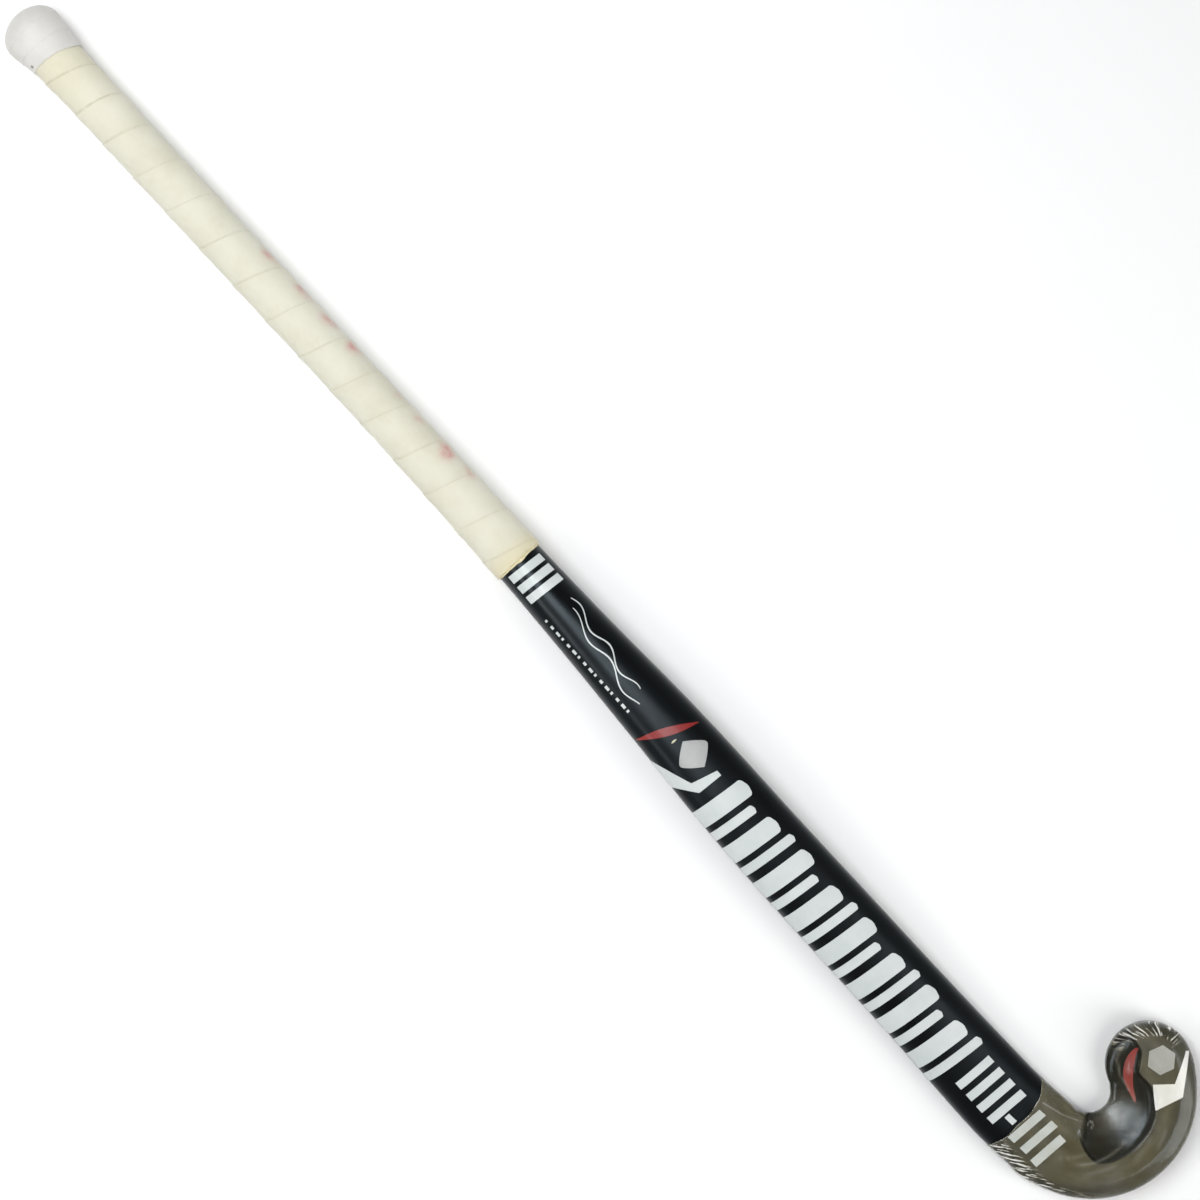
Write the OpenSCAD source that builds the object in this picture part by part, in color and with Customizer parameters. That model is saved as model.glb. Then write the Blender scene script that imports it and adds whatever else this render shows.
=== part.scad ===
// Field hockey stick: one-piece laminate body with a hooked head, foam cores,
// moulded butt cap, wound grip, finishing tape, clear head film and transfers.
// +X runs from butt to head, +Y towards the toe, +Z out of the rounded back.
// The flat playing face lies down on z = 0. Millimetres.

/* [Overall] */
// Whole length from the butt to the end of the head
length = 927; // [920:1:934]
// Gap left under the middle of the shaft when the stick lies face down
bow = 18; // [4:1:24]
// Where along the stick that gap is largest, from the butt
bow_x = 580; // [540:5:620]

/* [Handle] */
// Bare radius of the round handle
handle_r = 12.6; // [12:0.1:13.2]
// Largest radius of the moulded flare at the butt, under the wraps
flare_r = 15.4; // [14.8:0.1:15.8]
// Length of the domed end of the butt
dome_len = 14; // [12:0.5:15]
// Wall of the laminate body
wall = 2.6; // [2:0.1:3.2]

/* [Shaft and head] */
// Thickness of the shaft just above the head
shaft_t = 21.2; // [20:0.1:22]
// Thickness of the head from face to plateau
head_t = 20.4; // [19.5:0.1:21]
// How deep the back of the head is scooped on the crook side
scoop = 7; // [4:0.5:8]
// Inside radius of the crook
crook_r = 11.7; // [11:0.1:12.5]
// Outside radius of the hook about the crook centre
hook_r = 60.3; // [59.5:0.1:61]

/* [Grip] */
// Advance of the grip strip in one turn
pitch = 26.5; // [26:0.1:27]
// Overlap of one turn on the turn before
overlap = 5; // [4.5:0.1:5.5]
// Thickness of the cushion backing under the strip
backing_t = 0.35; // [0.3:0.01:0.38]
// Where the strip is cut off, from the butt
grip_end = 421.6; // [420:0.1:423]
// Thickness of the finishing tape round the butt
tape_t = 0.4; // [0.3:0.02:0.42]
// Where the finishing tape stops, from the butt
tape_end = 33; // [32:0.1:33.6]

/* [Head film and transfers] */
// Gap from the body to the inside of the clear film
film_gap = 0.25; // [0.24:0.01:0.3]
// Thickness of the clear film
film_t = 0.25; // [0.15:0.01:0.3]
// Where the film starts, from the butt
film_x = 848; // [846:0.5:850]
// Thickness of a printed transfer
ink_t = 0.17; // [0.1:0.01:0.18]

/* [Hidden] */

face_z = film_gap + film_t;           // playing face of the body, above the floor
longer = length - 927;                // moves the head along the shaft
head_x = 866 + longer;                // where the straight shaft turns into the hook
crook = [head_x, 32.5];               // centre of the hook in plan
toe_ang = 73;                         // where the hook turns into the toe
tilt = 0.03;                          // rise of the straight handle per mm
axis_z0 = 17.48;                      // height of the handle axis at the butt
shift = [0.1 - length / 2, -30.8, 0];     // moves the box centre over the origin
N_HANDLE = 330;                       // the handle is straight and round up to here

function mix(a, b, t) = a + (b - a) * t;
function clamp01(t) = max(0, min(1, t));
function ease(a, b, x) = let (t = clamp01((x - a) / (b - a))) t * t * (3 - 2 * t);

// Smooth curve through a table of [x, y] rows
function seg(tab, x, i = 0) = (i >= len(tab) - 2 || x < tab[i + 1][0]) ? i : seg(tab, x, i + 1);
function grad(tab, i) =
    (i <= 0 || i >= len(tab) - 1) ? 0 :
    (tab[i + 1][1] - tab[i - 1][1]) / (tab[i + 1][0] - tab[i - 1][0]);
function curve(tab, x) =
    x <= tab[0][0] ? tab[0][1] :
    x >= tab[len(tab) - 1][0] ? tab[len(tab) - 1][1] :
    let (i = seg(tab, x), h = tab[i + 1][0] - tab[i][0], t = (x - tab[i][0]) / h,
         a = t * t * t, b = t * t)
    (2 * a - 3 * b + 1) * tab[i][1] + (a - 2 * b + t) * h * grad(tab, i)
    + (3 * b - 2 * a) * tab[i + 1][1] + (a - b) * h * grad(tab, i + 1);

// Distance of the toe-side and heel-side edges from the handle axis
toe_edge = [[0, handle_r], [300, handle_r], [360, 13.1], [430, 13.3], [480, 14.3],
            [540, 16.3], [580, 16.7], [640, 16.3], [700, 16.4], [760, 16.5],
            [810 + longer, 17.1], [840 + longer, 17.8], [868 + longer, 20.0]];
heel_edge = [[0, handle_r], [300, handle_r], [360, 13.5], [420, 15.3], [480, 18.2],
             [540, 22], [590, 25.6], [640, 27.7], [700, 28.7], [760, 29.4],
             [810 + longer, 31], [840 + longer, 31.4], [868 + longer, 29.6]];
// Thickness from face to back
thick = [[0, 2 * handle_r], [320, 2 * handle_r], [440, 25], [520, 23.6],
         [600, 22.2], [700, shaft_t + 0.2], [800, shaft_t], [868 + longer, head_t]];

// Height of the playing face (or the underside of the round handle)
function face(x) =
    let (zh = axis_z0 + tilt * N_HANDLE - handle_r)
    x <= N_HANDLE ? axis_z0 + tilt * x - handle_r :
    x <= bow_x ? let (h = bow_x - N_HANDLE, t = (x - N_HANDLE) / h)
        (2 * pow(t, 3) - 3 * t * t + 1) * zh + (pow(t, 3) - 2 * t * t + t) * h * tilt
        + (3 * t * t - 2 * pow(t, 3)) * (bow + face_z) :
    mix(bow + face_z, face_z, ease(bow_x, head_x - 4, x));

// One rib of the body. [kind, position]: kind 0 is the straight part at x,
// kind 1 the hook at an angle about the crook centre, kind 2 the toe cap at a
// fraction of its radius. A rib is [outer point, inner point, face z, thickness,
// end rounding, scoop edge as a share of the half width, scoop depth, kind-wise x].
function r_out(p) = hook_r + 2.0 * (1 - ease(-90, -66, p)) + 1.4 * ease(48, toe_ang, p);
function r_in(p) = crook_r + 1.1 * (1 - ease(-90, -72, p)) + 0.7 * ease(58, toe_ang, p);
toe_r = (r_out(toe_ang) - r_in(toe_ang)) / 2;
toe_c = crook + (r_out(toe_ang) + r_in(toe_ang)) / 2 * [cos(toe_ang), sin(toe_ang)];
function scoop_edge(p) =   // distance of the plateau's edge from the rib's middle
    curve([[-90, 14], [-66, 12], [-52, 3.4], [-40, -3.2], [-15, -3.8], [5, -2.8],
           [30, -1.6], [54, 1.6], [73, 7.2]], p);

function rib(s, o = 0) =
    s[0] == 0 ? let (x = s[1])
        [[x, -curve(heel_edge, x) - o], [x, curve(toe_edge, x) + o], face(x) - o,
         curve(thick, x) + 2 * o, 1, 0.45, 0, x] :
    s[0] == 1 ? let (p = s[1], d = [cos(p), sin(p)], a = (r_out(p) - r_in(p)) / 2)
        [crook + (r_out(p) + o) * d, crook + (r_in(p) - o) * d, face_z - o,
         head_t + 2 * o, 1, scoop_edge(p) / a, scoop * ease(-68, -44, p), 900 + longer] :
    let (c = s[1], r = toe_r + o, d = [cos(toe_ang + 90), sin(toe_ang + 90)],
         e = [cos(toe_ang), sin(toe_ang)], h = r * sqrt(1 - c * c), m = toe_c + c * r * d)
        [m + h * e, m - h * e, face_z - o, head_t + 2 * o,
         pow(1 - pow(c, 3.6), 1 / 3.6),
         curve([[0, 0.29], [0.12, 0.24], [0.27, 0.13], [0.42, 0.04], [0.6, 0.05], [0.8, 0.1], [1, 0.1]], c),
         scoop * (1 - 0.25 * c), 900 + longer];

// Height of the back at share q of the half width (-1 outer edge, +1 crook side)
function back(r, q) =
    let (u = clamp01((q - r[5]) / (1 - r[5])),
         n = mix(mix(mix(2, 2.35, ease(425, 540, r[7])), 3.4, ease(790, 866, r[7] - longer)),
                 2.3, clamp01(r[6] / 5) * ease(0.05, 0.45, u)),
         k = mix(1, 1.05, ease(800, 866, r[7] - longer)),
         mid = mix(0.5, 0.44, ease(425, 560, r[7])) * r[3],
         f = r[4] * pow(max(0, 1 - pow(abs(q), n)), 1 / n),
         s = 0.34 * ease(0, 0.16, u) + 0.66 * (1 - pow(1 - u, 1.8)))
    r[2] + mid + min(r[4] < 1 ? k * f : min(1, k * f), 1) * (r[3] - mid) * (1 - r[6] / (r[3] - mid) * s);
// Height of the face side at share q
function front(r, q) =
    let (n = mix(2, 4, ease(425, 540, r[7])), k = mix(1, 1.05, ease(425, 540, r[7])),
         mid = mix(0.5, 0.44, ease(425, 560, r[7])) * r[3],
         f = r[4] * pow(max(0, 1 - pow(abs(q), n)), 1 / n))
    r[2] + mid - min(1, k * f) * mid;

function at(r, q) = let (t = (q + 1) / 2) r[0] * (1 - t) + r[1] * t;
function q_top(b) = concat([-1, -0.975, -0.91, -0.78, -0.6], [for (t = [1, 2]) mix(-0.6, b, t / 3)],
    [b], [for (g = [0.08, 0.17, 0.34, 0.52, 0.7, 0.85, 0.95, 1]) mix(b, 1, g)]);
Q_LOW = [0.975, 0.9, 0.75, 0.4, 0, -0.4, -0.75, -0.9, -0.975];
function ring(s, o = 0) = let (r = rib(s, o))
    concat([for (q = q_top(r[5])) let (p = at(r, q)) [p[0], p[1], back(r, q)]],
           [for (q = Q_LOW) let (p = at(r, q)) [p[0], p[1], front(r, q)]]);

function hook_stations(step) = [for (p = [-90:step:toe_ang - 0.1]) [1, p]];
toe_stations = [for (a = [0, 10, 20, 30, 40, 50, 60, 70, 79, 86]) [2, sin(a)]];
function shaft_stations(x0, x1, step) =
    let (n = max(1, round((x1 - x0) / step))) [for (i = [0:n]) [0, mix(x0, x1, i / n)]];

// Turns every face over
function flip(faces) = [for (f = faces) [for (i = [len(f) - 1:-1:0]) f[i]]];
// A closed solid through rings of equal length, with flat ends
module loft(rings) {
    m = len(rings); n = len(rings[0]);
    pts = [for (r = rings) each r];
    faces = concat(
        [for (i = [0:m - 2], j = [0:n - 1], t = [0, 1])
            let (a = i * n + j, b = i * n + (j + 1) % n)
            t == 0 ? [a, a + n, b] : [b, a + n, b + n]],
        [[for (j = [0:n - 1]) j]],
        [[for (j = [0:n - 1]) (m - 1) * n + n - 1 - j]]);
    polyhedron(points = pts, faces = flip(faces), convexity = 8);
}
// A closed wall between two sets of rings, closed at the far end, open at the near end
module sleeve_loft(outer, inner) {
    m = len(outer); k = len(inner); n = len(outer[0]); base = m * n;
    pts = concat([for (r = outer) each r], [for (r = inner) each r]);
    faces = concat(
        [for (i = [0:m - 2], j = [0:n - 1], t = [0, 1])
            let (a = i * n + j, b = i * n + (j + 1) % n)
            t == 0 ? [a, a + n, b] : [b, a + n, b + n]],
        [for (i = [0:k - 2], j = [0:n - 1], t = [0, 1])
            let (a = base + i * n + j, b = base + i * n + (j + 1) % n)
            t == 0 ? [a, b, a + n] : [b, b + n, a + n]],
        [for (j = [0:n - 1], t = [0, 1])
            let (a = j, b = (j + 1) % n, c = base + j, d = base + (j + 1) % n)
            t == 0 ? [a, b, c] : [b, d, c]],
        [[for (j = [0:n - 1]) (m - 1) * n + n - 1 - j]],
        [[for (j = [0:n - 1]) base + (k - 1) * n + j]]);
    polyhedron(points = pts, faces = flip(faces), convexity = 8);
}

// Handle surface at x, angle a from +Z towards +Y, and height o above it
function under_r(x) = x < dome_len
    ? flare_r * sqrt(max(0, 1 - pow((dome_len - x) / (dome_len - 0.5), 2)))
    : curve([[dome_len, flare_r], [19, flare_r - 0.1], [24, 14.2], [28.5, 13.4],
             [33, 13.15], [43, 13], [52, 12.75], [60, handle_r]], x);
function over(x, a, o) =
    let (w = x < 60 ? under_r(x) : (curve(heel_edge, x) + curve(toe_edge, x)) / 2,
         h = x < 60 ? under_r(x) : curve(thick, x) / 2,
         y = x < 60 ? 0 : (curve(toe_edge, x) - curve(heel_edge, x)) / 2,
         z = x < N_HANDLE ? axis_z0 + tilt * x : face(x) + curve(thick, x) / 2)
    [x, y + (w + o) * sin(a), z + (h + o) * cos(a)];
wound = 24;                            // facets round the handle
backing_out = 0.05 + backing_t;
lo = backing_out + 0.05;               // underside of the strip
hi = 1.45;                             // top of the strip

// Places a shape drawn round the X axis on the sloping handle axis
module on_axis() {
    translate([0, 0, axis_z0]) rotate([0, -atan(tilt), 0]) rotate([90, 0, 90]) children();
}

module body_shell() color([0.03, 0.03, 0.035]) translate(shift)
    sleeve_loft(
        [for (s = concat(shaft_stations(7, 330, 110), shaft_stations(352, head_x - 6, 22),
                         hook_stations(7), toe_stations)) ring(s)],
        [for (s = concat(shaft_stations(7, 330, 110), shaft_stations(360, head_x - 11, 33),
                         hook_stations(10), toe_stations)) ring(s, -wall)]);

// Damping foam that fills the handle
module handle_core() color([0.86, 0.8, 0.62]) translate(shift)
    loft([for (s = concat(shaft_stations(27, 330, 101), shaft_stations(360, 430, 35)))
          ring(s, -wall - 0.08)]);

// Foam that fills the head and the lower shaft
module head_core() color([0.86, 0.8, 0.62]) translate(shift)
    loft([for (s = concat(shaft_stations(640, head_x - 11, 33), hook_stations(10), toe_stations))
          ring(s, -wall - 0.08)]);

// Moulded cap: dome, flare that sleeves over the handle, and a plug in its bore
module butt_cap() color([0.2, 0.2, 0.2]) translate(shift) on_axis()
    rotate_extrude($fn = 96) polygon(concat(
        [[0, 0.5]],
        [for (i = [1:12]) let (x = dome_len - (dome_len - 0.5) * cos(i * 7.5)) [under_r(x) - 0.02, x]],
        [for (x = [19, 24, 28.5, 33, 43]) [under_r(x) - 0.02, x]],
        [[handle_r + 0.05, 43], [handle_r + 0.05, 6.9], [handle_r - wall - 0.1, 6.9],
         [handle_r - wall - 0.1, 26], [handle_r - wall - 2.2, 26],
         [handle_r - wall - 2.2, 9], [0, 9]]));

// Thin adhesive cushion between the handle and the strip
module grip_backing() color([0.9, 0.84, 0.6]) translate(shift) {
    xs = concat([9, 11.5, 14, 19, 24, 28.5, 33, 43, 52, 60], [for (i = [1:4]) 60 + 67.5 * i],
                [345, 360, 375, 390, 405, 415, grip_end + 1.2]);
    m = len(xs); n = wound;
    outer = [for (x = xs, j = [0:n - 1]) over(x, -j * 360 / n, backing_out)];
    inner = [for (x = xs, j = [0:n - 1]) over(x, -j * 360 / n, 0.05)];
    b = m * n;
    polyhedron(points = concat(outer, inner), convexity = 8, faces = flip(concat(
        [for (i = [0:m - 2], j = [0:n - 1], t = [0, 1])
            let (p = i * n + j, q = i * n + (j + 1) % n)
            t == 0 ? [p, q, p + n] : [q, q + n, p + n]],
        [for (i = [0:m - 2], j = [0:n - 1], t = [0, 1])
            let (p = b + i * n + j, q = b + i * n + (j + 1) % n)
            t == 0 ? [p, p + n, q] : [q, p + n, q + n]],
        [for (j = [0:n - 1], t = [0, 1]) let (p = j, q = (j + 1) % n)
            t == 0 ? [p, b + p, q] : [q, b + p, b + q]],
        [for (j = [0:n - 1], t = [0, 1]) let (p = (m - 1) * n + j, q = (m - 1) * n + (j + 1) % n)
            t == 0 ? [p, q, b + p] : [q, b + q, b + p]])));
}

// Grip strip: a left-handed helix, each turn lapping the one nearer the butt
strip_x0 = 15.5;                       // edge of the first lapped turn, on top
strip_last = floor((grip_end - overlap - 1 - strip_x0) / pitch * wound);
function strip_ring(i) =
    let (a = i * 360 / wound, x = strip_x0 + pitch * i / wound, e = x + pitch + overlap,
         lap = ease(-1, 0, i),
         rows = [[0, mix(lo, hi + 0.05, lap)], [overlap, mix(lo, 0.85, lap)],
                 [overlap + 0.6, lo], [e - x, lo], [e - x, 0.78], [e - x - overlap, hi],
                 [overlap + 4, hi], [overlap, mix(hi, 1.88, lap)], [0, mix(lo + 0.5, 1.88, lap)]],
         low = [0, 0.3, 0.6, 0.9, 0.9, 0.7, 0.5, 0.3, 0],
         top = [1.5, 1.1, 0.7, 0, 0, 0.4, 0.8, 1.1, 1.5])
    [for (k = [0:8]) over(max(7 + low[k], min(grip_end - top[k], x + rows[k][0])), a, rows[k][1])];
strip_cap = [[0, 1, 7], [0, 7, 8], [1, 2, 6], [1, 6, 7], [2, 5, 6], [2, 3, 5], [3, 4, 5]];
module grip_strip() color([0.94, 0.93, 0.85]) translate(shift) {
    first = -wound;
    rings = [for (i = [first:strip_last]) strip_ring(i)];
    m = len(rings); n = 9;
    polyhedron(points = [for (r = rings) each r], convexity = 10, faces = flip(concat(
        [for (i = [0:m - 2], j = [0:n - 1], t = [0, 1])
            let (p = i * n + j, q = i * n + (j + 1) % n)
            t == 0 ? [p, p + n, q] : [q, p + n, q + n]],
        [for (f = strip_cap) f],
        [for (f = strip_cap) (m - 1) * n * [1, 1, 1] + [f[2], f[1], f[0]]])));
}

// Finishing tape: over the dome and round the flare
module butt_tape() color([0.93, 0.92, 0.91]) translate(shift) on_axis()
    rotate_extrude($fn = 96) {
        side = [[19, 17.6], [24, 16.5], [28.5, 15.7], [tape_end, 15.4]];
        polygon(concat(
            [[0, 0]],
            [for (i = [1:14]) let (t = i * 90 / 14) [17.9 * sin(t), dome_len * (1 - cos(t))]],
            [for (p = side) [p[1], p[0]]],
            [for (k = [3:-1:0]) [side[k][1] - tape_t, side[k][0]]],
            [for (i = [14:-1:1]) let (t = i * 90 / 14)
                [(17.9 - tape_t) * sin(t), dome_len - (dome_len - tape_t) * cos(t)]],
            [[0, tape_t]]));
    }

// Clear film drawn tight over the whole head
module head_film() color([0.75, 0.72, 0.62, 0.4]) translate(shift)
    sleeve_loft(
        [for (s = concat([[0, film_x + longer], [0, head_x - 9]], hook_stations(9), toe_stations)) ring(s, film_gap + film_t)],
        [for (s = concat([[0, film_x + longer], [0, head_x - 9]], hook_stations(9), toe_stations)) ring(s, film_gap)]);

// A printed transfer between two lines of [x, share of the half width] on the
// back, laid on the straight part of the stick
function on_back(x, q, o) = let (r = rib([0, x], o), p = at(r, q)) [p[0], p[1], back(r, q)];
module patch(grid, n) {
    // grid: rows of n top points followed by n bottom points
    m = len(grid); w = 2 * n;
    polyhedron(points = [for (g = grid) each g], convexity = 4, faces = concat(
        [for (i = [0:m - 2], j = [0:n - 2], t = [0, 1]) let (p = i * w + j)
            t == 0 ? [p, p + w, p + 1] : [p + 1, p + w, p + w + 1]],
        [for (i = [0:m - 2], j = [0:n - 2], t = [0, 1]) let (p = i * w + n + j)
            t == 0 ? [p, p + 1, p + w] : [p + 1, p + w + 1, p + w]],
        [for (i = [0:m - 2], t = [0, 1]) let (p = i * w)
            t == 0 ? [p, p + n, p + w] : [p + n, p + n + w, p + w]],
        [for (i = [0:m - 2], t = [0, 1]) let (p = i * w + n - 1)
            t == 0 ? [p, p + w, p + n] : [p + n, p + w, p + n + w]],
        [for (j = [0:n - 2], t = [0, 1])
            t == 0 ? [j, j + 1, n + j] : [j + 1, n + j + 1, n + j]],
        [for (j = [0:n - 2], t = [0, 1]) let (p = (m - 1) * w + j)
            t == 0 ? [p, p + n, p + 1] : [p + 1, p + n, p + n + 1]]));
}
ink_z = 0.04;
module transfer(left, right, across = 1) translate(shift)
    patch([for (i = [0:len(left) - 1]) concat(
        [for (k = [0:across]) let (p = mix(left[i], right[i], k / across)) on_back(p[0], p[1], ink_z + ink_t)],
        [for (k = [0:across]) let (p = mix(left[i], right[i], k / across)) on_back(p[0], p[1], ink_z)])],
        across + 1);
// A slanted bar from share q0 up to q1, w wide, its top leaning towards the head
module bar(x, w, q0, q1, lean = 2, steps = 8) {
    qs = [for (i = [0:steps]) mix(q0, q1, i / steps)];
    transfer([for (q = qs) [x + lean * (q - q0), q]], [for (q = qs) [x + w + lean * (q - q0), q]]);
}

module upper_bars() color([0.88, 0.91, 0.9])
    for (x = [424.6, 432.1, 439.6]) bar(x, 5, -0.72, 0.8, 1.2);

// Two long fine lines
function wave(x, k) = 0.5 - 0.26 * k - 0.0075 * (x - 457) + 0.13 * sin((x - 457) * (k == 0 ? 13 : 11));
module wave_lines() color([0.88, 0.91, 0.9])
    for (k = [0, 1]) {
        xs = [for (i = [0:24]) mix(457 + 5 * k, 521 + 6 * k, i / 24)];
        transfer([for (x = xs) [x, wave(x, k) + 0.05]], [for (x = xs) [x, wave(x, k)]]);
    }

module fine_dashes() color([0.85, 0.88, 0.87])
    for (i = [0:15]) {
        x = 456.6 + 4.55 * i; w = 1.4 + 0.8 * ((i * 7) % 3); q = -0.71 + 0.002 * (x - 456);
        transfer([[x, q - 0.045], [x, q + 0.045]], [[x + w, q - 0.045], [x + w, q + 0.045]]);
    }

module red_band() color([0.6, 0.13, 0.13]) {
    ts = [for (i = [0:14]) i / 14];
    transfer([for (t = ts) [540.8 + 16.2 * t - 0.25 - 2.5 * sin(180 * t), mix(-0.93, 0.76, t)]],
             [for (t = ts) [540.8 + 16.2 * t + 0.25 + 2.5 * sin(180 * t), mix(-0.93, 0.76, t)]]);
}

module grey_lozenge() color([0.68, 0.67, 0.64]) {
    ts = [for (i = [0:8]) -1 + i / 4];
    transfer([for (t = ts) [568.2 - 9.2 * pow(1.03 - abs(t), 0.75), 0.06 + 0.5 * t]],
             [for (t = ts) [568.2 + 9.2 * pow(1.03 - abs(t), 0.75), 0.06 + 0.5 * t]], 3);
}

module white_chevron() color([0.88, 0.91, 0.9]) {
    qs = [for (i = [0:15]) mix(-0.985, 0.25, i / 15)];
    transfer([for (q = qs) [q < -0.5 ? mix(555, 579.5, (q + 0.985) / 0.485) : mix(579.5, 584, (q + 0.5) / 0.75), q]],
             [for (q = qs) [q < -0.5 ? mix(574, 586.5, (q + 0.985) / 0.485) : mix(586.5, 587.5, (q + 0.5) / 0.75), q]], 2);
}

// A row of bold bars that run off the heel edge
module large_bars() color([0.88, 0.91, 0.9])
    for (i = [0:7]) {
        bar(592.6 + 26.3 * i, 11.3, -0.985, i % 2 == 0 ? 0.6 : 0.52, 2.4, 10);
        bar(607.8 + 26.3 * i, 5.6, -0.985, i % 2 == 0 ? 0.34 : 0.6, 2.4, 10);
    }

module small_bars() color([0.88, 0.91, 0.9]) {
    for (x = [807.3, 816.2, 825.1, 834]) bar(x + longer, 5, -0.56, 0.46, 1);
    bar(840.8 + longer, 6.2, -0.26, -0.12, 0, 2);
    for (x = [850.2, 859.4]) bar(x + longer, 5, -0.54, 0.42, 0.8);
    head_patch([[868.6, -19], [869.2, 3.4]], [[873.8, -19], [874.4, 3.4]], 8, 2);
}

// Point on the back of the head over a point of the plan
function on_plan(xy, o) =
    let (e = [cos(toe_ang), sin(toe_ang)], w = xy - toe_c, c = (w[1] * e[0] - w[0] * e[1]) / toe_r,
         v = xy - crook, p = atan2(v[1], v[0]), r = norm(v))
    c > 0 && xy[1] > crook[1]
        ? [xy[0], xy[1], back(rib([2, c], o), -(w * e) / (toe_r * sqrt(1 - c * c)))]
        : [xy[0], xy[1], back(rib([1, p], o), 1 - 2 * (r - r_in(p)) / (r_out(p) - r_in(p)))];
function along(pts, t) = let (u = t * (len(pts) - 1), i = min(floor(u), len(pts) - 2)) mix(pts[i], pts[i + 1], u - i);
// Transfer between two lines of the plan, laid on the head
module head_patch(left, right, rows, across) translate(shift)
    patch([for (i = [0:rows]) let (a = along(left, i / rows) + [longer, 0], b = along(right, i / rows) + [longer, 0])
        concat([for (k = [0:across]) on_plan(mix(a, b, k / across), ink_z + ink_t)],
               [for (k = [0:across]) on_plan(mix(a, b, k / across), ink_z)])], across + 1);

module head_lozenge() color([0.67, 0.66, 0.62]) {
    c = [for (a = [0:60:300]) [877.4, 74.5] + 8.6 * [cos(a + 12), sin(a + 12)]];
    head_patch([c[4], c[3], c[2]], [c[5], c[0], c[1]], 8, 6);
}

module head_chevron() color([0.92, 0.93, 0.91])
    head_patch([[884.4, 61.4], [892.6, 70.8], [883.5, 88.4]], [[896.4, 52.6], [901.2, 69], [885, 89.6]], 14, 6);

// Stripe on the scooped side, tapered at both ends
function streak(t) =
    [curve([[0, 886.3], [0.25, 876.7], [0.5, 870.1], [0.75, 865.1], [1, 863.7]], t),
     curve([[0, 47.6], [0.25, 51.8], [0.5, 56.8], [0.75, 64.2], [1, 69.5]], t)];
function streak_side(t, k) = let (g = streak(min(1, t + 0.02)) - streak(max(0, t - 0.02)))
    streak(t) + k * (0.15 + 2.55 * sin(180 * t)) * [g[1], -g[0]] / norm(g);
module head_red_stripe() color([0.6, 0.13, 0.13]) {
    ts = [for (i = [0:14]) i / 14];
    head_patch([for (t = ts) streak_side(t, -1)], [for (t = ts) streak_side(t, 1)], 14, 2);
}

body_shell();
handle_core();
head_core();
butt_cap();
grip_backing();
grip_strip();
butt_tape();
head_film();
upper_bars();
wave_lines();
fine_dashes();
red_band();
grey_lozenge();
white_chevron();
large_bars();
small_bars();
head_lozenge();
head_chevron();
head_red_stripe();
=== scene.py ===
import math

import bmesh
import bpy
import numpy as np
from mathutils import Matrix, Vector


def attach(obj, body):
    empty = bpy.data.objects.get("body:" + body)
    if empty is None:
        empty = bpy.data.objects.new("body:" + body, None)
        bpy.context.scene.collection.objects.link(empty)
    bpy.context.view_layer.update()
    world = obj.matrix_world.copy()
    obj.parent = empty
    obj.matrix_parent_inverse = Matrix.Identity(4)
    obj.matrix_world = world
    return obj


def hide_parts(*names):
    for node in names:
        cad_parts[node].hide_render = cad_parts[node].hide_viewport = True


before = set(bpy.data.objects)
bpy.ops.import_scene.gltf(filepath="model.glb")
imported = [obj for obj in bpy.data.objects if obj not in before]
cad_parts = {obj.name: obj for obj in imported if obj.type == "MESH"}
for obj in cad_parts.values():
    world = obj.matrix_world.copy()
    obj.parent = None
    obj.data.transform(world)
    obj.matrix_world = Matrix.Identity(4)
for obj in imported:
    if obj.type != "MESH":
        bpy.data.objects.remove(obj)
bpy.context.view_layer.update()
MM = 0.001
SHIFT = np.array([-463.4, -30.8, 0.0])   # the stick's own millimetres, butt at 0, to the frame

# ------------------------------------------------------------------ camera, floor, light
scene = bpy.context.scene
scene.view_settings.view_transform = "Standard"
scene.view_settings.look = "None"

AIM = Vector((0.0056, -0.0131, 0.022))
RIGHT = Vector((0.67886, 0.73427, 0.0)).normalized()
UP = Vector((-0.73427, 0.67886, 0.0)).normalized()
HEIGHT, FRAME_W = 1.75, 0.6812
cam_data = bpy.data.cameras.new("camera")
cam_data.sensor_width = 36.0
cam_data.lens = 36.0 * HEIGHT / FRAME_W
cam = bpy.data.objects.new("camera", cam_data)
scene.collection.objects.link(cam)
from mathutils import Matrix
cam.matrix_world = Matrix(((RIGHT.x, UP.x, 0, AIM.x), (RIGHT.y, UP.y, 0, AIM.y), (0, 0, 1, AIM.z + HEIGHT), (0, 0, 0, 1)))
scene.camera = cam

world = bpy.data.worlds.new("studio")
scene.world = world
world.use_nodes = True
wt = world.node_tree
sky_co = wt.nodes.new("ShaderNodeTexCoord")
sky_z = wt.nodes.new("ShaderNodeSeparateXYZ")
sky = wt.nodes.new("ShaderNodeValToRGB")
wt.links.new(sky_co.outputs["Generated"], sky_z.inputs[0])
wt.links.new(sky_z.outputs["Z"], sky.inputs["Fac"])
wt.links.new(sky.outputs["Color"], wt.nodes["Background"].inputs["Color"])
while len(sky.color_ramp.elements) < 5:
    sky.color_ramp.elements.new(0.5)
for el, (pos, v) in zip(sky.color_ramp.elements, ((0.0, 0.40), (0.22, 0.44), (0.45, 0.30), (0.7, 0.09), (1.0, 0.03))):
    el.position = pos
    el.color = (v * 0.97, v * 0.99, v, 1)
wt.nodes["Background"].inputs["Strength"].default_value = 1.0


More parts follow.
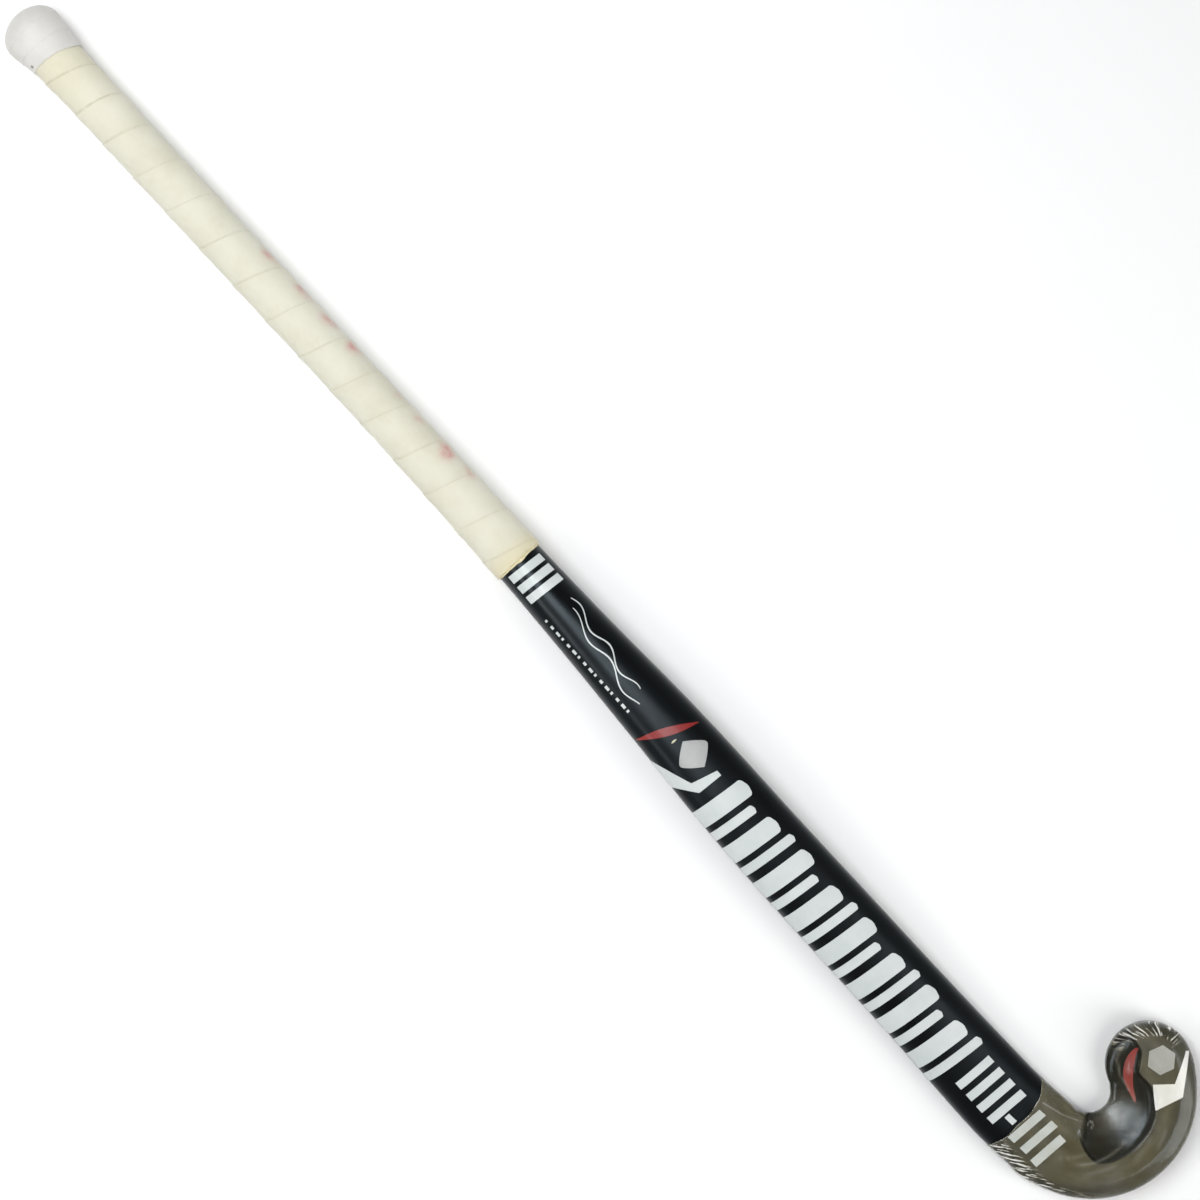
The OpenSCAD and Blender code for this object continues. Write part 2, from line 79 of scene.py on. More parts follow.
def area(name, loc, target, size, size_y, power, colour=(1, 1, 1)):
    d = bpy.data.lights.new(name, "AREA")
    d.shape = "RECTANGLE"
    d.size, d.size_y, d.energy, d.color = size, size_y, power, colour
    o = bpy.data.objects.new(name, d)
    scene.collection.objects.link(o)
    o.location = loc
    o.rotation_euler = (Vector(target) - Vector(loc)).to_track_quat("-Z", "Y").to_euler()
    return o


# one big soft box over the handle half, low strips on the heel and butt sides, and a soft box past the toe
area("soft_box", (-0.50, -0.17, 1.50), (-0.50, -0.17, 0.0), 1.40, 0.50, 16.5, (0.96, 0.98, 1.0))
area("heel_strip", (-0.36, -0.86, 1.22), (0.42, 0.03, 0.0), 1.3, 0.3, 6.5, (1.0, 0.985, 0.96))
area("butt_strip", (-1.30, 0.0, 1.0), (0.42, 0.03, 0.0), 0.9, 0.35, 3.5, (1.0, 0.99, 0.97))
area("toe_box", (1.45, 0.45, 1.0), (0.3, 0.05, 0.0), 0.8, 1.6, 15, (1.0, 0.99, 0.98))

# ------------------------------------------------------------------ the stick's shape
HANDLE_R, FLARE_R, DOME = 12.6, 15.4, 14.0
BOW, BOW_X, TILT, AXIS_Z0 = 18.0, 580.0, 0.03, 17.48
HEAD_T, SCOOP, FACE_Z = 20.4, 7.0, 0.5
HEAD_X = 866.0
CROOK = np.array([866.0, 32.5])
TOE_ANG = 73.0
N_HANDLE = 330.0
TOE_EDGE = [[0, 12.6], [300, 12.6], [360, 13.1], [430, 13.3], [480, 14.3], [540, 16.3], [580, 16.7],
            [640, 16.3], [700, 16.4], [760, 16.5], [810, 17.1], [840, 17.8], [868, 20.0]]
HEEL_EDGE = [[0, 12.6], [300, 12.6], [360, 13.5], [420, 15.3], [480, 18.2], [540, 22], [590, 25.6],
             [640, 27.7], [700, 28.7], [760, 29.4], [810, 31], [840, 31.4], [868, 29.6]]
THICK = [[0, 25.2], [320, 25.2], [440, 25], [520, 23.6], [600, 22.2], [700, 21.4], [800, 21.2], [868, 20.4]]
SCOOP_EDGE = [[-90, 14], [-66, 12], [-52, 3.4], [-40, -3.2], [-15, -3.8], [5, -2.8], [30, -1.6], [54, 1.6], [73, 7.2]]

TOE_SCOOP = [[0, 0.29], [0.12, 0.24], [0.27, 0.13], [0.42, 0.04], [0.6, 0.05], [0.8, 0.1], [1, 0.1]]


def mix(a, b, t):
    return a + (b - a) * t


def ease(a, b, x):
    t = np.clip((np.asarray(x, float) - a) / (b - a), 0, 1)
    return t * t * (3 - 2 * t)


def curve(tab, x):
    tab = np.asarray(tab, float)
    xs, ys = tab[:, 0], tab[:, 1]
    g = np.zeros(len(xs))
    g[1:-1] = (ys[2:] - ys[:-2]) / (xs[2:] - xs[:-2])
    x = np.clip(np.asarray(x, float), xs[0], xs[-1])
    i = np.clip(np.searchsorted(xs, x, side="right") - 1, 0, len(xs) - 2)
    h = xs[i + 1] - xs[i]
    t = (x - xs[i]) / h
    a, b = t ** 3, t ** 2
    return (2 * a - 3 * b + 1) * ys[i] + (a - 2 * b + t) * h * g[i] + (3 * b - 2 * a) * ys[i + 1] + (a - b) * h * g[i + 1]


def face(x):
    x = np.asarray(x, float)
    zh = AXIS_Z0 + TILT * N_HANDLE - HANDLE_R
    h = BOW_X - N_HANDLE
    t = np.clip((x - N_HANDLE) / h, 0, 1)
    middle = (2 * t ** 3 - 3 * t * t + 1) * zh + (t ** 3 - 2 * t * t + t) * h * TILT + (3 * t * t - 2 * t ** 3) * (BOW + FACE_Z)
    late = mix(BOW + FACE_Z, FACE_Z, ease(BOW_X, HEAD_X - 4, x))
    return np.where(x <= N_HANDLE, AXIS_Z0 + TILT * x - HANDLE_R, np.where(x <= BOW_X, middle, late))


def r_out(p):
    return 60.3 + 2.0 * (1 - ease(-90, -66, p)) + 1.4 * ease(48, TOE_ANG, p)


def r_in(p):
    return 11.7 + 1.1 * (1 - ease(-90, -72, p)) + 0.7 * ease(58, TOE_ANG, p)


TOE_R = float(r_out(TOE_ANG) - r_in(TOE_ANG)) / 2
_c = np.array([math.cos(math.radians(TOE_ANG)), math.sin(math.radians(TOE_ANG))])
TOE_E = _c
TOE_D = np.array([-_c[1], _c[0]])
TOE_C = CROOK + float(r_out(TOE_ANG) + r_in(TOE_ANG)) / 2 * _c


class Ribs:
    """Ribs across the body, as arrays: outer and inner point in plan, face height, thickness, end rounding, scoop."""

    def __init__(self, kind, pos, o=0.0):
        kind, pos = np.atleast_1d(np.asarray(kind, int)), np.atleast_1d(np.asarray(pos, float))
        n = len(kind)
        self.kind, self.pos, self.o = kind, pos, o
        self.out, self.inn = np.zeros((n, 2)), np.zeros((n, 2))
        self.face, self.t = np.zeros(n), np.zeros(n)
        self.end, self.b, self.scoop, self.kx = np.ones(n), np.full(n, 0.45), np.zeros(n), np.full(n, 900.0)
        m = kind == 0
        x = pos[m]
        self.out[m] = np.c_[x, -curve(HEEL_EDGE, x) - o]
        self.inn[m] = np.c_[x, curve(TOE_EDGE, x) + o]
        self.face[m], self.t[m], self.kx[m] = face(x) - o, curve(THICK, x) + 2 * o, x
        self.b[m] = mix(0.45, 14 / 24.75, ease(820, 866, x))
        m = kind == 1
        p = pos[m]
        d = np.c_[np.cos(np.radians(p)), np.sin(np.radians(p))]
        ro, ri = r_out(p), r_in(p)
        self.out[m] = CROOK + (ro + o)[:, None] * d
        self.inn[m] = CROOK + (ri - o)[:, None] * d
        self.face[m], self.t[m] = FACE_Z - o, HEAD_T + 2 * o
        self.b[m] = curve(SCOOP_EDGE, p) / ((ro - ri) / 2)
        self.scoop[m] = SCOOP * ease(-68, -44, p)
        m = kind == 2
        c = pos[m]
        r = TOE_R + o
        h = r * np.sqrt(np.maximum(0, 1 - c * c))
        mid = TOE_C + c[:, None] * r * TOE_D
        self.out[m] = mid + h[:, None] * TOE_E
        self.inn[m] = mid - h[:, None] * TOE_E
        self.face[m], self.t[m] = FACE_Z - o, HEAD_T + 2 * o
        self.end[m] = np.maximum(0, 1 - c ** 3.6) ** (1 / 3.6)
        self.b[m] = curve(TOE_SCOOP, c)
        self.scoop[m] = SCOOP * (1 - 0.25 * c)

    def _n(self):
        return mix(mix(2, 2.35, ease(425, 540, self.kx)), 3.4, ease(790, 866, self.kx))

    def back(self, q):
        """Height of the back at shares q [n] or [n, m] of the half width."""
        q = np.asarray(q, float)
        s = (slice(None),) + (None,) * (q.ndim - 1)
        n, k = self._n()[s], mix(1, 1.05, ease(800, 866, self.kx))[s]
        mid = (mix(0.5, 0.44, ease(425, 560, self.kx)) * self.t)[s]
        end, t, b, sc = self.end[s], self.t[s], self.b[s], self.scoop[s]
        u = np.clip((q - b) / (1 - b), 0, 1)
        n = mix(n, 2.3, np.clip(sc / 5, 0, 1) * ease(0.05, 0.45, u))   # the scooped side rolls over more gently
        f = end * np.maximum(0, 1 - np.abs(q) ** n) ** (1 / n)
        d = 0.34 * ease(0, 0.16, u) + 0.66 * (1 - (1 - u) ** 1.8)
        return self.face[s] + mid + np.minimum(1, k * f) * (t - mid) * (1 - sc / (t - mid) * d)

    def front(self, q):
        q = np.asarray(q, float)
        s = (slice(None),) + (None,) * (q.ndim - 1)
        n, k = mix(2, 4, ease(425, 540, self.kx))[s], mix(1, 1.05, ease(425, 540, self.kx))[s]
        mid = (mix(0.5, 0.44, ease(425, 560, self.kx)) * self.t)[s]
        f = self.end[s] * np.maximum(0, 1 - np.abs(q) ** n) ** (1 / n)
        return self.face[s] + mid - np.minimum(1, k * f) * mid

    def at(self, q):
        q = np.asarray(q, float)
        t = (q + 1) / 2
        if q.ndim == 1:
            t = t[:, None]
            return self.out * (1 - t) + self.inn * t
        return self.out[:, None, :] * (1 - t[..., None]) + self.inn[:, None, :] * t[..., None]


def head_rib(x, y):
    """The rib and share under plan points on the head."""
    x, y = np.asarray(x, float), np.asarray(y, float)
    v = np.stack([x - CROOK[0], y - CROOK[1]], -1)
    phi = np.degrees(np.arctan2(v[..., 1], v[..., 0]))
    r = np.hypot(v[..., 0], v[..., 1])
    w = np.stack([x - TOE_C[0], y - TOE_C[1]], -1)
    c = (w @ TOE_D) / TOE_R
    toe = (c > 0) & (y > CROOK[1])
    straight = (~toe) & (x < CROOK[0]) & (y < CROOK[1])
    kind = np.where(toe, 2, np.where(straight, 0, 1))
    phi = np.clip(phi, -90, TOE_ANG)
    cc = np.clip(c, 0, 0.9999)
    pos = np.where(toe, cc, np.where(straight, x, phi))
    q_hook = 1 - 2 * (r - r_in(phi)) / (r_out(phi) - r_in(phi))
    q_toe = -(w @ TOE_E) / (TOE_R * np.sqrt(1 - cc * cc))
    heel, toe_e = curve(HEEL_EDGE, x), curve(TOE_EDGE, x)
    q_str = (y - (toe_e - heel) / 2) / ((toe_e + heel) / 2)
    q = np.where(toe, q_toe, np.where(straight, q_str, q_hook))
    return kind, pos, np.clip(q, -1, 1)


def head_z(x, y):
    kind, pos, q = head_rib(x, y)
    shape = np.shape(x)
    ribs = Ribs(kind.ravel(), pos.ravel())
    return ribs.back(q.ravel()).reshape(shape)


def seen(x, z):
    """Where a mark z high really sits, that the camera shows at x on a flat drawing."""
    return AIM.x * 1000 + 463.4 + (x - 470.55) * (FRAME_W / 0.68328) * (HEIGHT * 1000 + AIM.z * 1000 - z) / (HEIGHT * 1000)


def waves(p, size, seed, octaves=2, n=10):
    """Smooth noise in about -1..1 at points p [..., 3], features about size long."""
    g = np.random.default_rng(seed)
    out = np.zeros(p.shape[:-1])
    amp, total = 1.0, 0.0
    for k in range(octaves):
        d = g.normal(size=(n, 3))
        d /= np.linalg.norm(d, axis=1)[:, None]
        f = 2 * np.pi / (size / 2 ** k) * g.uniform(0.6, 1.4, n)
        ph = g.uniform(0, 2 * np.pi, n)
        out += amp * np.sin(p @ (d * f[:, None]).T + ph).sum(-1) / math.sqrt(n / 2)
        total += amp
        amp *= 0.5
    return out / total / 1.4


# ------------------------------------------------------------------ mesh making
def link(mesh, name):
    o = bpy.data.objects.new(name, mesh)
    scene.collection.objects.link(o)
    return o


def make(name, verts, faces, mat, attrs=None, smooth=True, sharp_deg=None):
    """verts in the stick's own millimetres."""
    v = (np.asarray(verts, float).reshape(-1, 3) + SHIFT) * MM
    me = bpy.data.meshes.new(name)
    me.from_pydata(v.tolist(), [], [list(map(int, f)) for f in faces])
    me.validate()
    for key, val in (attrs or {}).items():
        a = me.attributes.new(key, "FLOAT", "POINT")
        a.data.foreach_set("value", np.asarray(val, np.float32).ravel())
    o = link(me, name)
    bm = bmesh.new()
    bm.from_mesh(me)
    bmesh.ops.recalc_face_normals(bm, faces=bm.faces)
    if sharp_deg is not None:
        lim = math.radians(sharp_deg)
        for e in bm.edges:
            e.smooth = not (len(e.link_faces) == 2 and e.calc_face_angle(0) > lim)
    for f in bm.faces:
        f.smooth = smooth
    bm.to_mesh(me)
    bm.free()
    me.materials.append(mat)
    return o


def quads(m, n, base=0, close_v=True, close_u=False, flip=False):
    """Faces of an m by n grid of points, rows joined in turn."""
    i = np.arange(m if close_u else m - 1)[:, None]
    j = np.arange(n if close_v else n - 1)[None, :]
    i2, j2 = (i + 1) % m, (j + 1) % n
    a, b, c, d = i * n + j, i * n + j2, i2 * n + j2, i2 * n + j
    f = np.stack(np.broadcast_arrays(a, b, c, d), -1).reshape(-1, 4) + base
    return (f[:, ::-1] if flip else f).tolist()


def q_rows(b):
    """Shares across the rib: the back from the outer to the crook side, then the face back again."""
    b = np.asarray(b)[:, None]
    outer = -np.cos(np.radians(np.linspace(0, 62, 17)))[None, :] * np.ones_like(b)
    e = 0.008
    flat = mix(outer[:, -1:], b - e, np.linspace(0, 1, 11)[None, 1:])
    g = np.array([0.02, 0.045, 0.07, 0.095, 0.12, 0.15, 0.185, 0.23, 0.29, 0.36, 0.43, 0.5, 0.57, 0.64, 0.7, 0.76,
                  0.81, 0.86, 0.9, 0.935, 0.962, 0.982, 0.995, 1.0])[None, :]
    slope = mix(b + e, 1.0, g)
    return np.concatenate([outer, flat, b * np.ones((1, 1)), b + e, slope], 1)


Q_LOW = np.cos(np.radians(np.linspace(0, 180, 37)))[1:-1]


def rings(kind, pos, o=0.0):
    r = Ribs(kind, pos, o)
    qt = q_rows(r.b)
    ql = np.ones((len(r.t), 1)) * Q_LOW[None, :]
    top = np.concatenate([r.at(qt), r.back(qt)[..., None]], -1)
    low = np.concatenate([r.at(ql), r.front(ql)[..., None]], -1)
    return np.concatenate([top, low], 1), np.concatenate([qt, ql], 1), qt.shape[1]


# ------------------------------------------------------------------ materials
class Mat:
    def __init__(self, name):
        self.m = bpy.data.materials.new(name)
        self.m.use_nodes = True
        self.t = self.m.node_tree
        self.bsdf = self.t.nodes["Principled BSDF"]
        self.co = self.t.nodes.new("ShaderNodeTexCoord").outputs["Object"]

    def set(self, **kw):
        for k, v in kw.items():
            s = self.bsdf.inputs[k.replace("_", " ")]
            if isinstance(v, bpy.types.NodeSocket):
                self.t.links.new(v, s)
            else:
                s.default_value = v
        return self

    def node(self, kind, **inputs):
        n = self.t.nodes.new(kind)
        for k, v in inputs.items():
            s = n.inputs[int(k[1:])] if k[0] == "i" and k[1:].isdigit() else n.inputs[k]
            if isinstance(v, bpy.types.NodeSocket):
                self.t.links.new(v, s)
            else:
                s.default_value = v
        return n

    def scaled(self, scale, rot=(0, 0, 0), loc=(0, 0, 0)):
        n = self.node("ShaderNodeMapping", Vector=self.co, Scale=scale, Rotation=rot, Location=loc)
        return n.outputs["Vector"]

    def noise(self, scale, detail=3.0, rough=0.55, vec=None, out="Fac", distort=0.0):
        n = self.node("ShaderNodeTexNoise", Vector=vec or self.co, Scale=scale, Detail=detail, Roughness=rough, Distortion=distort)
        return n.outputs[out]

    def voronoi(self, scale, vec=None, feature="F1", out="Distance"):
        n = self.node("ShaderNodeTexVoronoi", Vector=vec or self.co, Scale=scale)
        n.feature = feature
        return n.outputs[out]

    def ramp(self, fac, stops, interp="LINEAR"):
        n = self.node("ShaderNodeValToRGB", Fac=fac)
        r = n.color_ramp
        r.interpolation = interp
        while len(r.elements) < len(stops):
            r.elements.new(0.5)
        for e, (p, c) in zip(r.elements, stops):
            e.position = p
            e.color = (*c, 1) if len(c) == 3 else c
        return n.outputs["Color"]

    def span(self, fac, lo, hi, a=0.0, b=1.0):
        n = self.node("ShaderNodeMapRange", Value=fac)
        n.inputs["From Min"].default_value, n.inputs["From Max"].default_value = a, b
        n.inputs["To Min"].default_value, n.inputs["To Max"].default_value = lo, hi
        return n.outputs["Result"]

    def math(self, op, a, b=0.0, c=None):
        n = self.t.nodes.new("ShaderNodeMath")
        n.operation = op
        for i, v in enumerate((a, b) if c is None else (a, b, c)):
            if isinstance(v, bpy.types.NodeSocket):
                self.t.links.new(v, n.inputs[i])
            else:
                n.inputs[i].default_value = v
        return n.outputs[0]

    def blend(self, fac, a, b, mode="MIX"):
        n = self.t.nodes.new("ShaderNodeMix")
        n.data_type = "RGBA"
        n.blend_type = mode
        for s, v in ((n.inputs[0], fac), (n.inputs[6], a), (n.inputs[7], b)):
            if isinstance(v, bpy.types.NodeSocket):
                self.t.links.new(v, s)
            elif isinstance(v, (int, float)):
                s.default_value = v
            else:
                s.default_value = (*v, 1) if len(v) == 3 else v
        return n.outputs[2]

    def attr(self, name):
        n = self.t.nodes.new("ShaderNodeAttribute")
        n.attribute_name = name
        return n.outputs["Fac"]

    def bump(self, height, strength, distance, prev=None):
        n = self.node("ShaderNodeBump", Height=height, Strength=strength, Distance=distance)
        if prev is not None:
            self.t.links.new(prev, n.inputs["Normal"])
        return n.outputs["Normal"]


def lacquer():
    m = Mat("black_lacquer")
    tone = m.noise(9, 4, 0.6)
    base = m.ramp(tone, [(0.3, (0.0016, 0.0018, 0.0022)), (0.75, (0.0035, 0.0037, 0.0042))])
    # a few specks of dust in the clear coat
    cell = m.node("ShaderNodeTexVoronoi", Vector=m.co, Scale=150.0)
    near = m.span(cell.outputs["Distance"], 1.0, 0.0, 0.02, 0.055)
    pick = m.math("GREATER_THAN", m.node("ShaderNodeSeparateColor", Color=cell.outputs["Color"]).outputs[0], 0.94)
    speck = m.math("MULTIPLY", near, pick)
    base = m.blend(m.math("MULTIPLY", speck, 0.35), base, (0.30, 0.29, 0.26))
    # one small chip through to the undercoat
    at = m.scaled((1800.0, 560.0, 100.0), (0, 0, 0), (-165.6, 20.56, -4.13))
    far = m.node("ShaderNodeVectorMath", i0=at)
    far.operation = "LENGTH"
    chip = m.span(m.math("ADD", far.outputs["Value"], m.span(m.noise(700, 3, 0.6), -0.5, 0.5)), 1.0, 0.0, 0.9, 1.15)
    base = m.blend(chip, base, (0.62, 0.58, 0.42))
    smear = m.noise(1.0, 5, 0.6, m.scaled((14, 60, 60)))
    rough = m.math("ADD", m.span(smear, 0.27, 0.37, 0.35, 0.7), m.math("MULTIPLY", speck, 0.3))
    # under the tight clear film the gloss is that of the film
    under = m.span(m.node("ShaderNodeSeparateXYZ", Vector=m.co).outputs[0], 1.0, 0.62, 0.382, 0.388)
    rough = m.math("MULTIPLY", rough, under)
    hair = m.noise(1.0, 2, 0.5, m.scaled((40, 1500, 1500), (0, 0, 0.12)))
    hair2 = m.noise(1.0, 2, 0.5, m.scaled((60, 1900, 1900), (0, 0, -0.7)))
    fine = m.math("ADD", m.span(hair, 0.0, 1.0, 0.66, 0.74), m.span(hair2, 0.0, 1.0, 0.7, 0.78))
    orange = m.noise(160, 2, 0.5)
    n = m.bump(orange, 0.05, 0.001)
    n = m.bump(fine, 0.04, 0.0004, n)
    m.set(Base_Color=base, Roughness=rough, Normal=n, Coat_Weight=0.04, Coat_Roughness=0.22, Specular_IOR_Level=0.29,
          Specular_Tint=(0.76, 0.91, 1.0, 1.0))
    return m.m


def ink(name, dark, light, rough, metallic=0.0, sparkle=0.0):
    m = Mat(name)
    tone = m.noise(60, 4, 0.6)
    base = m.ramp(tone, [(0.3, dark), (0.7, light)])
    grain = m.noise(1400, 2, 0.6)
    base = m.blend(m.span(grain, 0.0, 0.10, 0.45, 0.75), base, tuple(0.72 * c for c in dark))
    if sparkle:
        cell = m.voronoi(2600)
        base = m.blend(m.span(cell, sparkle, 0.0, 0.05, 0.35), base, (0.8, 0.8, 0.76))
    # worn hairlines where the print has rubbed
    rub = m.noise(1.0, 3, 0.6, m.scaled((30, 900, 900), (0, 0, 0.5)))
    rough_n = m.math("ADD", m.span(tone, rough, rough + 0.12, 0.3, 0.7), m.span(rub, 0.0, 0.15, 0.62, 0.75))
    n = m.bump(grain, 0.12, 0.0003)
    n = m.bump(rub, 0.06, 0.0003, n)
    m.set(Base_Color=base, Roughness=rough_n, Normal=n, Metallic=metallic, Coat_Weight=0.25, Coat_Roughness=0.15)
    return m.m


def grip_leather():
    m = Mat("cream_grip")
    soft = m.noise(26, 5, 0.6)
    base = m.ramp(soft, [(0.28, (0.615, 0.59, 0.465)), (0.5, (0.675, 0.66, 0.545)), (0.75, (0.71, 0.70, 0.60))])
    blot = m.noise(1.0, 4, 0.65, m.scaled((70, 110, 110)), distort=0.6)
    base = m.blend(m.span(blot, 0.0, 0.3, 0.55, 0.8), base, (0.60, 0.56, 0.42))
    # pores of the foamed skin
    pore = m.voronoi(1500)
    poreN = m.noise(900, 3, 0.6)
    base = m.blend(m.span(pore, 0.16, 0.0, 0.05, 0.3), base, (0.55, 0.50, 0.36))
    # dirt that collects along each lap, and where the hand sits
    grime = m.math("MULTIPLY", m.attr("lap"), m.span(m.noise(220, 3, 0.6), 0.35, 1.0, 0.3, 0.65))
    base = m.blend(m.math("MULTIPLY", grime, 0.55), base, (0.40, 0.35, 0.23))
    stain = m.math("MULTIPLY", m.attr("stain"), m.span(m.noise(170, 4, 0.7), 0.3, 1.0, 0.3, 0.7))
    base = m.blend(m.math("MULTIPLY", stain, 0.95), base, (0.56, 0.155, 0.165))
    base = m.blend(m.math("MULTIPLY", m.attr("aged"), 0.6), base, (0.67, 0.575, 0.33))
    rough = m.span(soft, 0.62, 0.78, 0.3, 0.7)
    crease = m.noise(1.0, 4, 0.6, m.scaled((260, 120, 120), (0.3, 0.2, 0.5)))
    n = m.bump(crease, 0.35, 0.0010)
    n = m.bump(poreN, 0.35, 0.0004, n)
    n = m.bump(pore, 0.25, 0.00025, n)
    m.set(Base_Color=base, Roughness=rough, Normal=n, Sheen_Weight=0.15, Sheen_Roughness=0.5, Specular_IOR_Level=0.3)
    return m.m


def tape_cloth():
    m = Mat("white_tape")
    soft = m.noise(60, 4, 0.6)
    base = m.ramp(soft, [(0.3, (0.60, 0.585, 0.555)), (0.7, (0.665, 0.65, 0.62))])
    weave_a = m.node("ShaderNodeTexWave", Vector=m.co, Scale=380.0, Distortion=1.5, Detail=1.0)
    weave_a.bands_direction = "X"
    thread = m.noise(1.0, 2, 0.5, m.scaled((300, 2600, 2600)))
    base = m.blend(m.span(thread, 0.0, 0.16, 0.5, 0.8), base, (0.58, 0.57, 0.56))
    base = m.blend(m.math("MULTIPLY", m.attr("lap"), 0.3), base, (0.42, 0.40, 0.36))
    base = m.blend(m.math("MULTIPLY", m.attr("spot"), 0.85), base, (0.13, 0.09, 0.05))
    # darker brownish along both sides of the tape near the dome, broken up by noise
    rim = m.math("MULTIPLY", m.attr("side_dark"), m.span(m.noise(300, 4, 0.7), 0.1, 1.0, 0.4, 0.7))
    base = m.blend(m.math("MULTIPLY", rim, 0.5), base, (0.42, 0.34, 0.27))
    crease = m.noise(1.0, 4, 0.6, m.scaled((170, 90, 90)))
    n = m.bump(crease, 0.22, 0.0010)
    n = m.bump(weave_a.outputs["Fac"], 0.12, 0.0002, n)
    n = m.bump(thread, 0.3, 0.0003, n)
    m.set(Base_Color=base, Roughness=m.span(soft, 0.42, 0.6, 0.3, 0.7), Normal=n, Specular_IOR_Level=0.4, Sheen_Weight=0.1)
    return m.m


def film_clear():
    m = Mat("clear_film")
    # the film's olive tint and its cloudy patches are a painted reflection of the room
    cloud = m.noise(55, 4, 0.6)
    warm = m.noise(24, 3, 0.6)
    base = m.blend(m.span(warm, 0.0, 1.0, 0.38, 0.62), (0.50, 0.44, 0.235), (0.48, 0.46, 0.34))
    base = m.blend(m.span(cloud, 0.0, 0.4, 0.35, 0.7), base, (0.66, 0.63, 0.50))
    crumple = m.attr("crumple")
    field = m.node("ShaderNodeCombineXYZ", X=m.attr("cw"), Y=m.attr("cl"))
    fold = m.node("ShaderNodeTexNoise", Vector=field.outputs[0], Scale=1.0, Detail=2.0, Roughness=0.55, Distortion=0.18).outputs["Fac"]
    # painted highlights on the pleat crests, and painted shade in the gaps between them
    crest_glint = m.math("MULTIPLY", m.span(fold, 0.0, 1.0, 0.535, 0.575), crumple)
    gap_shade = m.math("MULTIPLY", m.span(fold, 1.0, 0.0, 0.44, 0.51), crumple)
    # painted highlight along the film's cut edge
    edge = m.attr("edge")
    # painted highlight streaks
    streak = m.attr("streak")
    # the painted highlights whiten the film and make it less clear
    white = m.math("MAXIMUM", crest_glint, m.math("MAXIMUM", edge, streak))
    base = m.blend(white, base, (0.90, 0.89, 0.83))
    # painted reflection tint, thinned in the pleat gaps
    reflection_tint = m.math("MULTIPLY", m.attr("reflection_tint"), m.span(cloud, 0.88, 1.1, 0.3, 0.7))
    reflection_tint = m.math("MULTIPLY", reflection_tint, m.span(gap_shade, 1.0, 0.12))
    alpha = m.math("ADD", reflection_tint, m.math("MULTIPLY", crest_glint, 0.72))
    alpha = m.math("ADD", alpha, m.math("MULTIPLY", edge, 0.5))
    alpha = m.math("ADD", alpha, m.math("MULTIPLY", streak, 0.20))
    fine = m.noise(420, 3, 0.6)
    pull = m.noise(1.0, 3, 0.6, m.scaled((60, 420, 420), (0, 0, 0.9)))
    n = m.bump(pull, 0.15, 0.0006)
    n = m.bump(m.math("MULTIPLY", fold, crumple), 0.8, 0.0022, n)
    n = m.bump(fine, 0.05, 0.0003, n)
    m.set(Base_Color=base, Alpha=alpha, Roughness=m.span(fine, 0.06, 0.14, 0.3, 0.7), Normal=n, Specular_IOR_Level=0.9)
    return m.m


def foam(name, a, b):
    m = Mat(name)
    cell = m.voronoi(900)
    base = m.ramp(m.noise(120, 4, 0.6), [(0.3, a), (0.7, b)])
    base = m.blend(m.span(cell, 0.25, 0.0, 0.0, 0.4), base, tuple(0.6 * c for c in a))
    m.set(Base_Color=base, Roughness=m.span(m.noise(300), 0.75, 0.92, 0.3, 0.7), Normal=m.bump(cell, 0.4, 0.0006))
    return m.m


def moulded(name, a, b):
    m = Mat(name)
    base = m.ramp(m.noise(90, 4, 0.6), [(0.3, a), (0.7, b)])
    spark = m.noise(1600, 2, 0.6)
    m.set(Base_Color=base, Roughness=m.span(m.noise(200), 0.42, 0.6, 0.3, 0.7), Normal=m.bump(spark, 0.2, 0.0003))
    return m.m


def glue():
    m = Mat("aged_adhesive")
    base = m.ramp(m.noise(400, 4, 0.7), [(0.3, (0.60, 0.51, 0.28)), (0.7, (0.76, 0.70, 0.46))])
    m.set(Base_Color=base, Roughness=m.span(m.noise(500), 0.4, 0.7, 0.3, 0.7), Normal=m.bump(m.noise(900, 3), 0.4, 0.0005))
    return m.m


M_LACQ = lacquer()
M_WHITE = ink("white_ink", (0.555, 0.60, 0.595), (0.62, 0.655, 0.65), 0.36)
M_WHITE2 = ink("white_ink_head", (0.90, 0.91, 0.89), (0.95, 0.95, 0.94), 0.34)
M_GREY = ink("grey_ink", (0.35, 0.36, 0.355), (0.43, 0.44, 0.43), 0.36, 0.12, 0.2)
M_RED = ink("red_ink", (0.22, 0.017, 0.015), (0.29, 0.025, 0.021), 0.34)
M_GRIP = grip_leather()
M_TAPE = tape_cloth()
M_FILM = film_clear()
M_FOAM = foam("damping_foam", (0.55, 0.47, 0.28), (0.72, 0.64, 0.42))
M_CAP = moulded("cap_plastic", (0.03, 0.03, 0.032), (0.05, 0.05, 0.05))
M_GLUE = glue()

# ------------------------------------------------------------------ body
body_pos = [(0, x) for x in np.linspace(7, 860, 150)] + [(0, 863.0)]
body_pos += [(1, p) for p in np.arange(-90, TOE_ANG - 1, 2.0)]
body_pos += [(2, math.sin(math.radians(a))) for a in list(np.arange(0, 88, 3.0)) + [88.3, 89.3, 89.8]]
bk, bp = [k for k, _ in body_pos], [p for _, p in body_pos]
P, _, _ = rings(bk, bp)
m_, n_ = P.shape[:2]
faces = quads(m_, n_)
